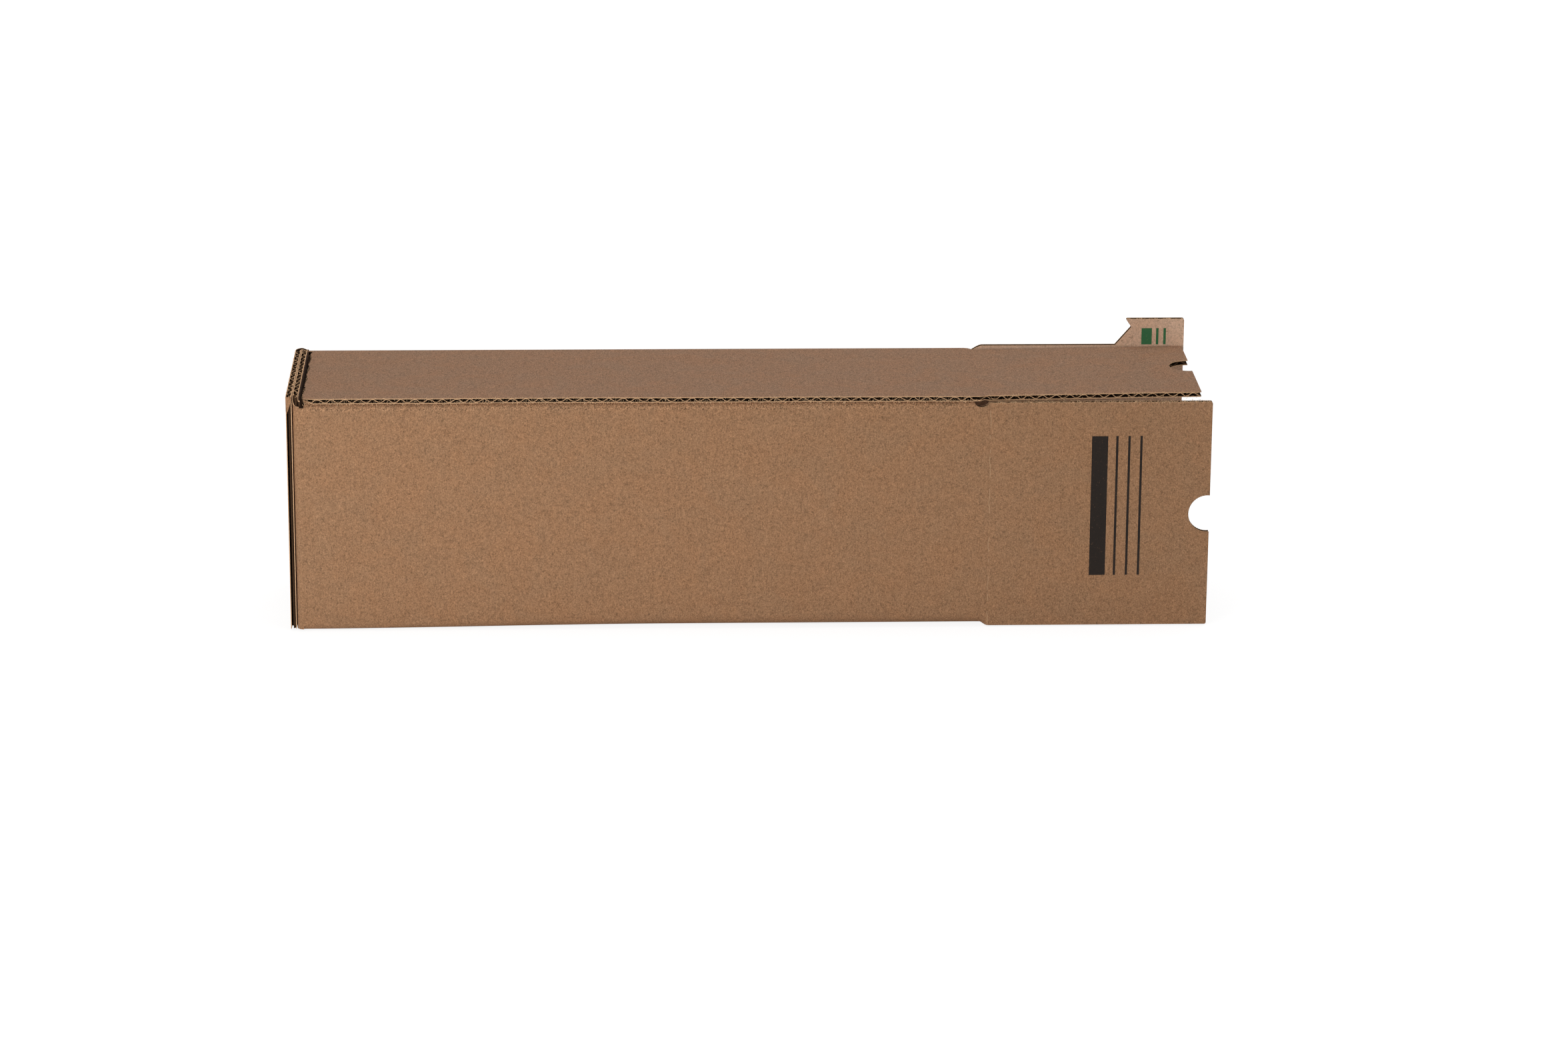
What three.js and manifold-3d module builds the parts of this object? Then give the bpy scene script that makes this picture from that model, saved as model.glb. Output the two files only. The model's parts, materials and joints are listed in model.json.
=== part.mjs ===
// Long corrugated shipping box, lying on its long side, with one end glued
// shut and the other end open. Millimetres, +Z up, +X towards the open end,
// and the front face looks along -Y. The origin is under the middle of the
// box, on the surface that it lies on.

import * as THREE from 'three';
import { mergeVertices } from 'three/addons/utils/BufferGeometryUtils.js';
import Module from 'manifold-3d';

const wasm = await Module();
wasm.setup();

// Board
const BOARD = 2.7;              // thickness of the corrugated board
const LINER = 0.45;             // each flat paper face of it
const WEB = 0.4;                // the waved paper between the faces
const FLUTE_PITCH = 6.35;       // one wave of that paper
const WEB_FOOT = 0.9;           // half of the wave's flat where it meets a face
const WEB_CREST = 0.7;          // half of the hollow's narrow side
const CLEARANCE = 0.3;          // between faces that lie against each other

// Wrapped panels: front, bottom, rear and top, with a glue flap under the top
const HEIGHT = 111;             // outside, floor to top face
const DEPTH = 84;               // outside, front face to rear face
const FRONT_TOP_FOLD = 3.0;     // outer radius of each long fold
const BOTTOM_FRONT_FOLD = 5.0;
const BOTTOM_REAR_FOLD = 4.0;
const TOP_REAR_FOLD = 3.3;
const TOP_EDGE_INSET = 0.4;     // raw front edge of the top, behind the front face
const GLUE_FLAP_WIDTH = 36;     // folded from the front panel, glued under the top
const POCKET_DEPTH = 60;        // open flutes behind the top's raw edge

// Closed end: the front panel's end flap, and the rear panel's over it
const END_FLAP_RISE = 1;        // above the top face
const END_FLAP_FOOT = 0.5;      // above the floor
const END_FOLD = 3.2;           // outer radius of both upright folds
const OUTER_FLAP_STOP = 1.2;    // free edge of the outer layer, behind the front face
const FRONT_CORNER_DROP = 4.5;  // front panel's corner, below the top face
const CORNER_NOTCH = 5.6;       // length of that lower corner
const TOP_START = 4.3;          // raw end of the top, from the front panel's fold
const WAVE_LENGTH = 17;         // of the scalloped cut along that end
const WAVE_DEPTH = 0.9;
const BOTTOM_START = 3.1;

// Open end: crease positions from the front panel's fold, and the three flaps
const FRONT_CREASE = 320.5;
const TOP_CREASE = 317.4;
const REAR_CREASE = 317.5;
const FRONT_FLAP_LENGTH = 102.5;
const TOP_FLAP_LENGTH = 100.6;
const REAR_FLAP_LENGTH = 101.8;
const FLAP_FOOT = 0.3;          // flaps above the floor
const FRONT_FLAP_DROP = 1.7;    // front flap's upper edge, under the top flap
const TOP_FLAP_FRONT_INSET = 3.1;
const TOP_FLAP_REAR_INSET = 4.5;
const REAR_FLAP_RISE = 1.3;     // above the top face
const CREASE_ANGLE = 46;        // half of the V on the inside of a crease, degrees
const RELIEF_LENGTH = 6.7;      // half-moon at the end of the front's top fold
const RELIEF_DEPTH = 2.2;
const RELIEF_END = 0.8;         // from the half-moon to the front crease
const GLUE_FLAP_STOP = 4.6;     // glue flap ends before the top crease

// Thumb notches in the free edges
const NOTCH_RADIUS = 8.8;
const NOTCH_DEPTH = 9.8;
const FRONT_NOTCH_HEIGHT = 53.3;
const TOP_NOTCH_FROM_FRONT = 46.3;

// Ear on the rear flap
const EAR_HEIGHT = 15.3;        // above the top face
const EAR_FOOT_WIDTH = 32.8;
const EAR_TOP_WIDTH = 27.6;
const EAR_SLIT_HEIGHT = 10.8;   // small V in the ear's side
const EAR_SLIT_WIDTH = 3.2;
const EAR_SLIT_OPENING = 3.6;

// Corners of the flaps
const FLAP_CORNER = 1.8;

// Overall lengths, for the origin
const LEFT_REACH = -(BOARD + CLEARANCE);
const RIGHT_REACH = FRONT_CREASE + FRONT_FLAP_LENGTH;
const MIDDLE_X = (LEFT_REACH + RIGHT_REACH) / 2;
const MIDDLE_Y = DEPTH / 2;

const OVERRUN = 2;              // how far a cutter passes a face
const ARC_STEPS = 6;            // segments of a quarter turn

const KRAFT_FRONT = 0xb98a5e;
const KRAFT_TOP = 0xb08a66;
const KRAFT_INNER = 0xc39b78;

const AXES = {
  // local x, y and depth of an extruded outline, in the box's frame
  acrossX: new THREE.Matrix4().makeBasis(
    new THREE.Vector3(0, 1, 0), new THREE.Vector3(0, 0, 1), new THREE.Vector3(1, 0, 0)),
  acrossY: new THREE.Matrix4().makeBasis(
    new THREE.Vector3(1, 0, 0), new THREE.Vector3(0, 0, 1), new THREE.Vector3(0, -1, 0)),
  acrossZ: new THREE.Matrix4(),
};

// A closed mesh as a solid, and back
function solidOf(geometry) {
  geometry.deleteAttribute('normal');
  geometry.deleteAttribute('uv');
  const merged = mergeVertices(geometry, 1e-5);
  return new wasm.Manifold(new wasm.Mesh({
    numProp: 3,
    vertProperties: new Float32Array(merged.attributes.position.array),
    triVerts: new Uint32Array(merged.index.array),
  }));
}

function geometryOf(solid) {
  const mesh = solid.getMesh();
  const geometry = new THREE.BufferGeometry();
  geometry.setAttribute('position', new THREE.BufferAttribute(mesh.vertProperties, 3));
  geometry.setIndex(new THREE.BufferAttribute(mesh.triVerts, 1));
  geometry.computeVertexNormals();
  return geometry;
}

// An outline extruded between two planes. Across Y, the depth runs towards -Y.
function slab(shape, axes, from, to) {
  const geometry = new THREE.ExtrudeGeometry(shape, {
    depth: to - from, bevelEnabled: false, curveSegments: ARC_STEPS,
  });
  geometry.translate(0, 0, axes === AXES.acrossY ? -to : from);
  geometry.applyMatrix4(axes);
  return solidOf(geometry);
}

function block(low, high) {
  const geometry = new THREE.BoxGeometry(high[0] - low[0], high[1] - low[1], high[2] - low[2]);
  geometry.translate((low[0] + high[0]) / 2, (low[1] + high[1]) / 2, (low[2] + high[2]) / 2);
  return solidOf(geometry);
}

function outline(points) {
  return new THREE.Shape(points.map(([u, v]) => new THREE.Vector2(u, v)));
}

// Points of an arc, both ends included, angles in degrees
function arc(u, v, radius, fromDegrees, toDegrees, steps = ARC_STEPS) {
  const points = [];
  for (let i = 0; i <= steps; i += 1) {
    const angle = THREE.MathUtils.degToRad(fromDegrees + (toDegrees - fromDegrees) * (i / steps));
    points.push([u + radius * Math.cos(angle), v + radius * Math.sin(angle)]);
  }
  return points;
}

// The hollows on both sides of the waved paper, as trapezoids in the plane of
// a raw edge: u along the edge from `first`, v through the board.
function fluteHollows(first, last) {
  const foot = FLUTE_PITCH / 2 - WEB_FOOT;
  const low = LINER;
  const high = BOARD - LINER;
  const hollows = [];
  const room = last - first;
  const halves = Math.floor((room - 2 * foot) / (FLUTE_PITCH / 2)) + 1;
  const start = first + (room - (halves - 1) * (FLUTE_PITCH / 2)) / 2;
  for (let i = 0; i < halves; i += 1) {
    const middle = start + i * (FLUTE_PITCH / 2);
    if (i % 2 === 0) {
      hollows.push([[middle - foot, low], [middle + foot, low],
        [middle + WEB_CREST, high - WEB], [middle - WEB_CREST, high - WEB]]);
    } else {
      hollows.push([[middle - WEB_CREST, low + WEB], [middle + WEB_CREST, low + WEB],
        [middle + foot, high], [middle - foot, high]]);
    }
  }
  return hollows;
}

// Upright flutes of a board whose inner face looks along +Y or +X
function uprightFlutes(first, last, low, high, place) {
  return fluteHollows(first, last).map((points) => slab(
    outline(points.map(place)), AXES.acrossZ, low - OVERRUN, high + OVERRUN));
}

function without(solid, cutters) {
  return cutters.reduce((rest, cutter) => rest.subtract(cutter), solid);
}

// Wrapped panels in one section, open at both ends
function wrapSection() {
  const underTop = HEIGHT - BOARD;
  const glueFace = underTop - BOARD;
  const frontFold = FRONT_TOP_FOLD;
  const shape = outline([
    [TOP_EDGE_INSET, HEIGHT],
    [TOP_EDGE_INSET, underTop],
    ...arc(frontFold, underTop - frontFold, frontFold, 90, 180),
    ...arc(BOTTOM_FRONT_FOLD, BOTTOM_FRONT_FOLD, BOTTOM_FRONT_FOLD, 180, 270),
    ...arc(DEPTH - BOTTOM_REAR_FOLD, BOTTOM_REAR_FOLD, BOTTOM_REAR_FOLD, 270, 360),
    ...arc(DEPTH - TOP_REAR_FOLD, HEIGHT - TOP_REAR_FOLD, TOP_REAR_FOLD, 0, 90),
  ]);
  const inner = [
    ...arc(frontFold, underTop - frontFold, frontFold - BOARD, 90, 180),
    ...arc(BOTTOM_FRONT_FOLD, BOTTOM_FRONT_FOLD, BOTTOM_FRONT_FOLD - BOARD, 180, 270),
    ...arc(DEPTH - BOTTOM_REAR_FOLD, BOTTOM_REAR_FOLD, BOTTOM_REAR_FOLD - BOARD, 270, 360),
    ...arc(DEPTH - TOP_REAR_FOLD, HEIGHT - TOP_REAR_FOLD, TOP_REAR_FOLD - BOARD, 0, 90),
    [GLUE_FLAP_WIDTH, underTop],
    [GLUE_FLAP_WIDTH, glueFace],
  ];
  shape.holes.push(new THREE.Path(inner.map(([u, v]) => new THREE.Vector2(u, v))));
  return shape;
}

// What the scalloped cut takes off the top's raw end
function scallopCutter() {
  const edge = [];
  const waves = Math.ceil((DEPTH + 2 * OVERRUN) / WAVE_LENGTH);
  const first = MIDDLE_Y - (waves * WAVE_LENGTH) / 2;
  const steps = ARC_STEPS;
  for (let i = 0; i < waves * steps; i += 1) {
    const share = (i % steps) / steps;
    const bulge = Math.sin(Math.PI * share) * WAVE_DEPTH;
    edge.push([TOP_START + bulge, first + (i / steps) * WAVE_LENGTH]);
  }
  edge.push([TOP_START, first + waves * WAVE_LENGTH]);
  const shape = outline([
    ...edge, [BOTTOM_START - OVERRUN, first + waves * WAVE_LENGTH], [BOTTOM_START - OVERRUN, first],
  ]);
  return slab(shape, AXES.acrossZ, HEIGHT - FRONT_CORNER_DROP, HEIGHT + OVERRUN);
}

// Cutters that give each panel its own end at the open side
function openEndCutters() {
  const beyond = FRONT_CREASE + OVERRUN;
  const half = CLEARANCE / 2;
  const slope = Math.tan(THREE.MathUtils.degToRad(CREASE_ANGLE));
  const innerFace = BOARD + CLEARANCE / 2;
  const flapTop = HEIGHT - BOARD - FRONT_FLAP_DROP;
  const reliefMiddle = FRONT_CREASE - RELIEF_END - RELIEF_LENGTH / 2;
  const topEnd = TOP_CREASE - half;
  const frontEnd = FRONT_CREASE - half;
  return [
    // bottom, top and rear panels stop before the front panel does
    block([topEnd, BOARD, -OVERRUN], [beyond, DEPTH + OVERRUN, HEIGHT + OVERRUN]),
    block([topEnd, -OVERRUN, flapTop], [beyond, DEPTH, HEIGHT + OVERRUN]),
    block([topEnd, -OVERRUN, -OVERRUN], [beyond, BOARD + OVERRUN, FLAP_FOOT]),
    block([frontEnd, -OVERRUN, -OVERRUN], [beyond, DEPTH, HEIGHT]),
    // V under the top crease
    slab(outline([
      [topEnd, HEIGHT], [topEnd + OVERRUN, HEIGHT],
      [topEnd + OVERRUN, HEIGHT - BOARD - OVERRUN],
      [topEnd - (BOARD + OVERRUN) * slope, HEIGHT - BOARD - OVERRUN],
    ]), AXES.acrossY, innerFace, DEPTH - TOP_REAR_FOLD),
    // V behind the front crease
    slab(outline([
      [frontEnd, 0], [frontEnd + OVERRUN, 0], [frontEnd + OVERRUN, BOARD + OVERRUN],
      [frontEnd - (BOARD + OVERRUN) * slope, BOARD + OVERRUN],
    ]), AXES.acrossZ, -OVERRUN, HEIGHT - FRONT_CORNER_DROP + OVERRUN),
    // glue flap stops before the closed top flap
    block([TOP_CREASE - GLUE_FLAP_STOP, innerFace, HEIGHT - BOARD * 2 - CLEARANCE],
      [beyond, GLUE_FLAP_WIDTH + OVERRUN, HEIGHT - BOARD]),
    // half-moon relief at the end of the front's top fold
    slab(outline([
      ...arc(reliefMiddle, flapTop + CLEARANCE, RELIEF_LENGTH / 2, 180, 360, 2 * ARC_STEPS)
        .map(([u, v]) => [u, flapTop + (v - flapTop) * (RELIEF_DEPTH * 2 / RELIEF_LENGTH)]),
      [reliefMiddle + RELIEF_LENGTH / 2, HEIGHT - BOARD],
      [reliefMiddle - RELIEF_LENGTH / 2, HEIGHT - BOARD],
    ]), AXES.acrossY, -OVERRUN, BOARD + OVERRUN),
  ];
}

// Flutes open along the top's raw front edge
function topEdgePockets() {
  const last = TOP_CREASE - GLUE_FLAP_STOP;
  return fluteHollows(TOP_START + 2 * WAVE_DEPTH, last).map((points) => slab(
    outline(points.map(([u, v]) => [u, HEIGHT - BOARD + v])), AXES.acrossY, -OVERRUN, POCKET_DEPTH));
}

function wrappedPanels() {
  const tube = slab(wrapSection(), AXES.acrossX, BOTTOM_START, FRONT_CREASE);
  const lowCorner = block([0, -OVERRUN, HEIGHT - FRONT_CORNER_DROP],
    [CORNER_NOTCH, FRONT_TOP_FOLD + OVERRUN, HEIGHT - BOARD]);
  return without(tube, [scallopCutter(), lowCorner, ...openEndCutters(), ...topEdgePockets()]);
}

// Inner layer of the closed end, folded back from the front panel
function innerEndFlap() {
  const end = DEPTH - BOARD - 2 * CLEARANCE;
  const top = HEIGHT + END_FLAP_RISE;
  const corner = slab(outline([
    [CORNER_NOTCH, 0], [CORNER_NOTCH, BOARD],
    ...arc(END_FOLD, END_FOLD, END_FOLD - BOARD, 270, 180),
    [BOARD, end], [0, end],
    ...arc(END_FOLD, END_FOLD, END_FOLD, 180, 270),
  ]), AXES.acrossZ, END_FLAP_FOOT, HEIGHT - FRONT_CORNER_DROP);
  const plate = block([0, TOP_EDGE_INSET, HEIGHT - FRONT_CORNER_DROP - OVERRUN], [BOARD, end, top]);
  const trim = block([-OVERRUN, -OVERRUN, HEIGHT - FRONT_CORNER_DROP - 2 * OVERRUN],
    [BOARD, END_FOLD, HEIGHT - FRONT_CORNER_DROP]);
  const flutes = uprightFlutes(END_FOLD + BOARD, end, END_FLAP_FOOT, top, ([u, v]) => [v, u]);
  return without(corner.add(plate.subtract(trim)), flutes);
}

// Outer layer of the closed end, folded forward from the rear panel
function outerEndFlap() {
  const top = HEIGHT + END_FLAP_RISE;
  const left = LEFT_REACH;
  const fold = END_FOLD;
  const corner = slab(outline([
    [fold, DEPTH],
    ...arc(left + fold, DEPTH - fold, fold, 90, 180),
    [left, OUTER_FLAP_STOP], [left + BOARD, OUTER_FLAP_STOP],
    ...arc(left + fold, DEPTH - fold, fold - BOARD, 180, 90),
    [fold, DEPTH - BOARD],
  ]), AXES.acrossZ, END_FLAP_FOOT, top);
  const stub = block([0, DEPTH - BOARD, END_FLAP_FOOT],
    [CORNER_NOTCH, DEPTH, HEIGHT - FRONT_CORNER_DROP]);
  const flutes = uprightFlutes(OUTER_FLAP_STOP, DEPTH - fold - BOARD, END_FLAP_FOOT, top,
    ([u, v]) => [left + v, u]);
  return without(corner.add(stub), flutes);
}

function boxBody() {
  return wrappedPanels().add(innerEndFlap()).add(outerEndFlap());
}

// A flap's outline from its crease at u = 0 to its free edge, with a thumb
// notch in that edge; v runs along the crease
function flapOutline(length, low, high, notchMiddle) {
  const start = CLEARANCE / 2;
  const corner = FLAP_CORNER;
  const notchCentre = length - NOTCH_DEPTH + NOTCH_RADIUS;
  const reach = THREE.MathUtils.radToDeg(Math.asin((length - notchCentre) / NOTCH_RADIUS));
  const notch = arc(notchCentre, notchMiddle, NOTCH_RADIUS, 270 + reach, 90 - reach, 3 * ARC_STEPS);
  return outline([
    [start, low],
    ...arc(length - corner, low + corner, corner, 270, 360),
    ...notch,
    ...arc(length - corner, high - corner, corner, 0, 90),
    [start, high],
  ]);
}

// Front flap, in its crease's frame: x from the crease, y from the front face
function frontFlap() {
  const high = HEIGHT - BOARD - FRONT_FLAP_DROP;
  const slope = Math.tan(THREE.MathUtils.degToRad(CREASE_ANGLE));
  const start = CLEARANCE / 2;
  const plate = slab(flapOutline(FRONT_FLAP_LENGTH, FLAP_FOOT, high, FRONT_NOTCH_HEIGHT),
    AXES.acrossY, 0, BOARD);
  const bevel = slab(outline([
    [start, 0], [start + (BOARD + OVERRUN) * slope, BOARD + OVERRUN], [-OVERRUN, BOARD + OVERRUN],
    [-OVERRUN, 0],
  ]), AXES.acrossZ, -OVERRUN, HEIGHT);
  const flutes = uprightFlutes(start + BOARD * slope + WEB, FRONT_FLAP_LENGTH - WEB_FOOT,
    0, high, ([u, v]) => [u, v]);
  return without(plate, [bevel, ...flutes]);
}

// Top flap, in its crease's frame: x from the crease, y from the front face,
// z from the top face
function topFlap() {
  const slope = Math.tan(THREE.MathUtils.degToRad(CREASE_ANGLE));
  const start = CLEARANCE / 2;
  const near = TOP_FLAP_FRONT_INSET;
  const far = DEPTH - TOP_FLAP_REAR_INSET;
  const plate = slab(flapOutline(TOP_FLAP_LENGTH, near, far, TOP_NOTCH_FROM_FRONT),
    AXES.acrossZ, -BOARD, 0);
  const bevel = slab(outline([
    [start, 0], [-OVERRUN, 0], [-OVERRUN, -BOARD - OVERRUN],
    [start + (BOARD + OVERRUN) * slope, -BOARD - OVERRUN],
  ]), AXES.acrossY, near - OVERRUN, far + OVERRUN);
  const flutes = fluteHollows(start + BOARD * slope + WEB, TOP_FLAP_LENGTH - WEB_FOOT)
    .map((points) => slab(outline(points.map(([u, v]) => [u, v - BOARD])),
      AXES.acrossY, near - OVERRUN, far + OVERRUN));
  return without(plate, [bevel, ...flutes]);
}

// Rear flap with its ear, in its crease's frame: x from the crease, y from
// the rear face, which is at zero
function rearFlap() {
  const length = REAR_FLAP_LENGTH;
  const shoulder = HEIGHT + REAR_FLAP_RISE;
  const earTop = HEIGHT + EAR_HEIGHT;
  const slitLevel = HEIGHT + EAR_SLIT_HEIGHT;
  const footAt = length - EAR_FOOT_WIDTH;
  const topAt = length - EAR_TOP_WIDTH;
  const slitTip = topAt + EAR_SLIT_WIDTH;
  const corner = FLAP_CORNER;
  const shape = outline([
    [CLEARANCE / 2, FLAP_FOOT],
    ...arc(length - corner, FLAP_FOOT + corner, corner, 270, 360),
    ...arc(length - corner, earTop - corner, corner, 0, 90),
    [topAt, earTop],
    [slitTip, slitLevel + EAR_SLIT_OPENING / 4],
    [topAt + CLEARANCE, slitLevel - EAR_SLIT_OPENING / 4],
    [footAt, shoulder],
    [CLEARANCE / 2, shoulder],
  ]);
  const plate = slab(shape, AXES.acrossY, -BOARD, 0);
  const flutes = uprightFlutes(CLEARANCE + WEB, length - WEB_FOOT, 0, earTop,
    ([u, v]) => [u, v - BOARD]);
  return without(plate, flutes);
}

function kraft(colour) {
  return new THREE.MeshStandardMaterial({ color: colour, roughness: 0.9, metalness: 0 });
}

function piece(name, solid, colour, x, y, z) {
  const mesh = new THREE.Mesh(geometryOf(solid), kraft(colour));
  mesh.name = name;
  mesh.position.set(x, y, z);
  return mesh;
}

const box = new THREE.Group();
box.add(piece('box_body', boxBody(), KRAFT_FRONT, 0, 0, 0));
box.add(piece('front_flap', frontFlap(), KRAFT_FRONT, FRONT_CREASE, 0, 0));
box.add(piece('top_flap', topFlap(), KRAFT_TOP, TOP_CREASE, 0, HEIGHT));
box.add(piece('rear_flap', rearFlap(), KRAFT_INNER, REAR_CREASE, DEPTH, 0));
box.position.set(-MIDDLE_X, -MIDDLE_Y, 0);

const part = new THREE.Group();
part.add(box);

export default part;
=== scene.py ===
"""Long corrugated shipping box, lying on its long side with one end open.

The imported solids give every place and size. This script dresses them as real
corrugated board: two kraft liners with a waved paper between them, raw cut
edges, rolled folds, crushed creases and torn fibres.
"""

from __future__ import annotations

import json
import logging
import math
from dataclasses import dataclass, field, replace
from enum import Enum
from typing import Callable, Sequence

import bmesh
import bpy
import numpy as np
from mathutils import Matrix, Vector


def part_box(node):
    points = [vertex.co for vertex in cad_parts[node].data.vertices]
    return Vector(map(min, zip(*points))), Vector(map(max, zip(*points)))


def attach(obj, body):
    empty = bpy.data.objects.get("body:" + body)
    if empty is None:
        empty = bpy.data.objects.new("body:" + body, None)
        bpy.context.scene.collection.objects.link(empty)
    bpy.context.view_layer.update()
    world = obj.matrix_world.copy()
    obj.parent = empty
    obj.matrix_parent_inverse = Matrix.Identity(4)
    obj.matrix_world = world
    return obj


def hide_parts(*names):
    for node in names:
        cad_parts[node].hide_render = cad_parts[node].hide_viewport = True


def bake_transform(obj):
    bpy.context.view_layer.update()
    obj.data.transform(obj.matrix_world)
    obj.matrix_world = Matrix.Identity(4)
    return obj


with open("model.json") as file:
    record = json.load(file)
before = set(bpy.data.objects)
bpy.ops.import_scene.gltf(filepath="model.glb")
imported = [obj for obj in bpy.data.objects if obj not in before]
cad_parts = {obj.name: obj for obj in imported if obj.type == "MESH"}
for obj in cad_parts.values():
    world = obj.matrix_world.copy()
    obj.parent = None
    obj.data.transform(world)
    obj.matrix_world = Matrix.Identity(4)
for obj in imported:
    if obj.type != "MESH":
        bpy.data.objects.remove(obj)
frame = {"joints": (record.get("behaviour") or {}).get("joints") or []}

logging.basicConfig(level=logging.INFO, format="%(message)s")
LOG = logging.getLogger("shipping_box")

MM = 0.001
PHOTO_WIDTH = 2352

Point = tuple[float, float, float]
Object = bpy.types.Object
Material = bpy.types.Material
Tree = bpy.types.NodeTree
Socket = bpy.types.NodeSocket


def cad_box_mm(node_name: str) -> tuple[np.ndarray, np.ndarray]:
    """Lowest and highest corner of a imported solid.

    Args:
        node_name: name of the solid.

    Returns:
        Both corners in millimetres.
    """
    low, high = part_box(node_name)
    return np.array(low) / MM, np.array(high) / MM


def joint_place_mm(joint_name: str) -> np.ndarray:
    """A point on a crease's axis, in millimetres."""
    joint = next(row for row in frame["joints"] if row["name"] == joint_name)
    return np.array(joint["pos_m"]) / MM


# Colours and node helpers


def srgb(hex_code: str) -> tuple[float, float, float, float]:
    """An sRGB hex colour as linear values.

    Args:
        hex_code: six hex digits.

    Returns:
        Linear red, green, blue and an alpha of one.
    """
    values = [int(hex_code[i : i + 2], 16) / 255 for i in (0, 2, 4)]
    linear = [v / 12.92 if v <= 0.04045 else ((v + 0.055) / 1.055) ** 2.4 for v in values]
    return (*linear, 1.0)


def add_node(
    tree: Tree,
    kind: str,
    links: dict[str | int, Socket] | None = None,
    values: dict[str | int, object] | None = None,
    **settings: object,
) -> bpy.types.Node:
    """Adds one node with its settings, values and incoming links.

    Args:
        tree: the tree that gets the node.
        kind: the node's type name.
        links: input name or index to the socket that feeds it.
        values: input name or index to its own value.
        **settings: properties of the node.

    Returns:
        The node.
    """
    made = tree.nodes.new(kind)
    for name, value in settings.items():
        setattr(made, name, value)
    for key, value in (values or {}).items():
        made.inputs[key].default_value = value
    for key, socket in (links or {}).items():
        tree.links.new(socket, made.inputs[key])
    return made


def maths(tree: Tree, operation: str, first: Socket | float, second: Socket | float = 0.0) -> Socket:
    """One sum in a tree, from sockets or plain numbers.

    Args:
        tree: the tree that gets the node.
        operation: the sum's name.
        first: its first operand.
        second: its second operand.

    Returns:
        The socket with the result.
    """
    links = {}
    values = {}
    for index, operand in enumerate((first, second)):
        if isinstance(operand, (int, float)):
            values[index] = float(operand)
        else:
            links[index] = operand
    return add_node(tree, "ShaderNodeMath", links, values, operation=operation).outputs[0]


# Finishes


class Grain(Enum):
    """The axis that the paper's fibres lie along."""

    ALONG_Y = 1
    ALONG_Z = 2


class WaveAxis(Enum):
    """The axis across which the board's waves show through a liner."""

    X = "X"
    Y = "Y"


@dataclass(frozen=True)
class InkBars:
    """Plain printed bars on a liner, in its plane.

    Attributes:
        hex_code: ink colour.
        low: lowest corner (x, z) of the bars, in millimetres.
        high: highest corner (x, z).
        pitch: distance between rules.
        rule: width of a rule.
        bar: width of the broad bar at the low side.
    """

    hex_code: str
    low: tuple[float, float]
    high: tuple[float, float]
    pitch: float
    rule: float
    bar: float

    def mask(self, tree: Tree, x: Socket, z: Socket) -> Socket:
        """Where ink lies.

        Args:
            tree: the material's tree.
            x: place along the box, in millimetres.
            z: height in millimetres.

        Returns:
            One on a bar and nought beside it.
        """
        inside = maths(tree, "GREATER_THAN", x, self.low[0])
        for test, socket, limit in (
            ("LESS_THAN", x, self.high[0]),
            ("GREATER_THAN", z, self.low[1]),
            ("LESS_THAN", z, self.high[1]),
        ):
            inside = maths(tree, "MULTIPLY", inside, maths(tree, test, socket, limit))
        offset = maths(tree, "SUBTRACT", x, self.low[0])
        rules = maths(tree, "LESS_THAN", maths(tree, "MODULO", offset, self.pitch), self.rule)
        broad = maths(tree, "LESS_THAN", offset, self.bar)
        return maths(tree, "MULTIPLY", inside, maths(tree, "MAXIMUM", rules, broad))


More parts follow.
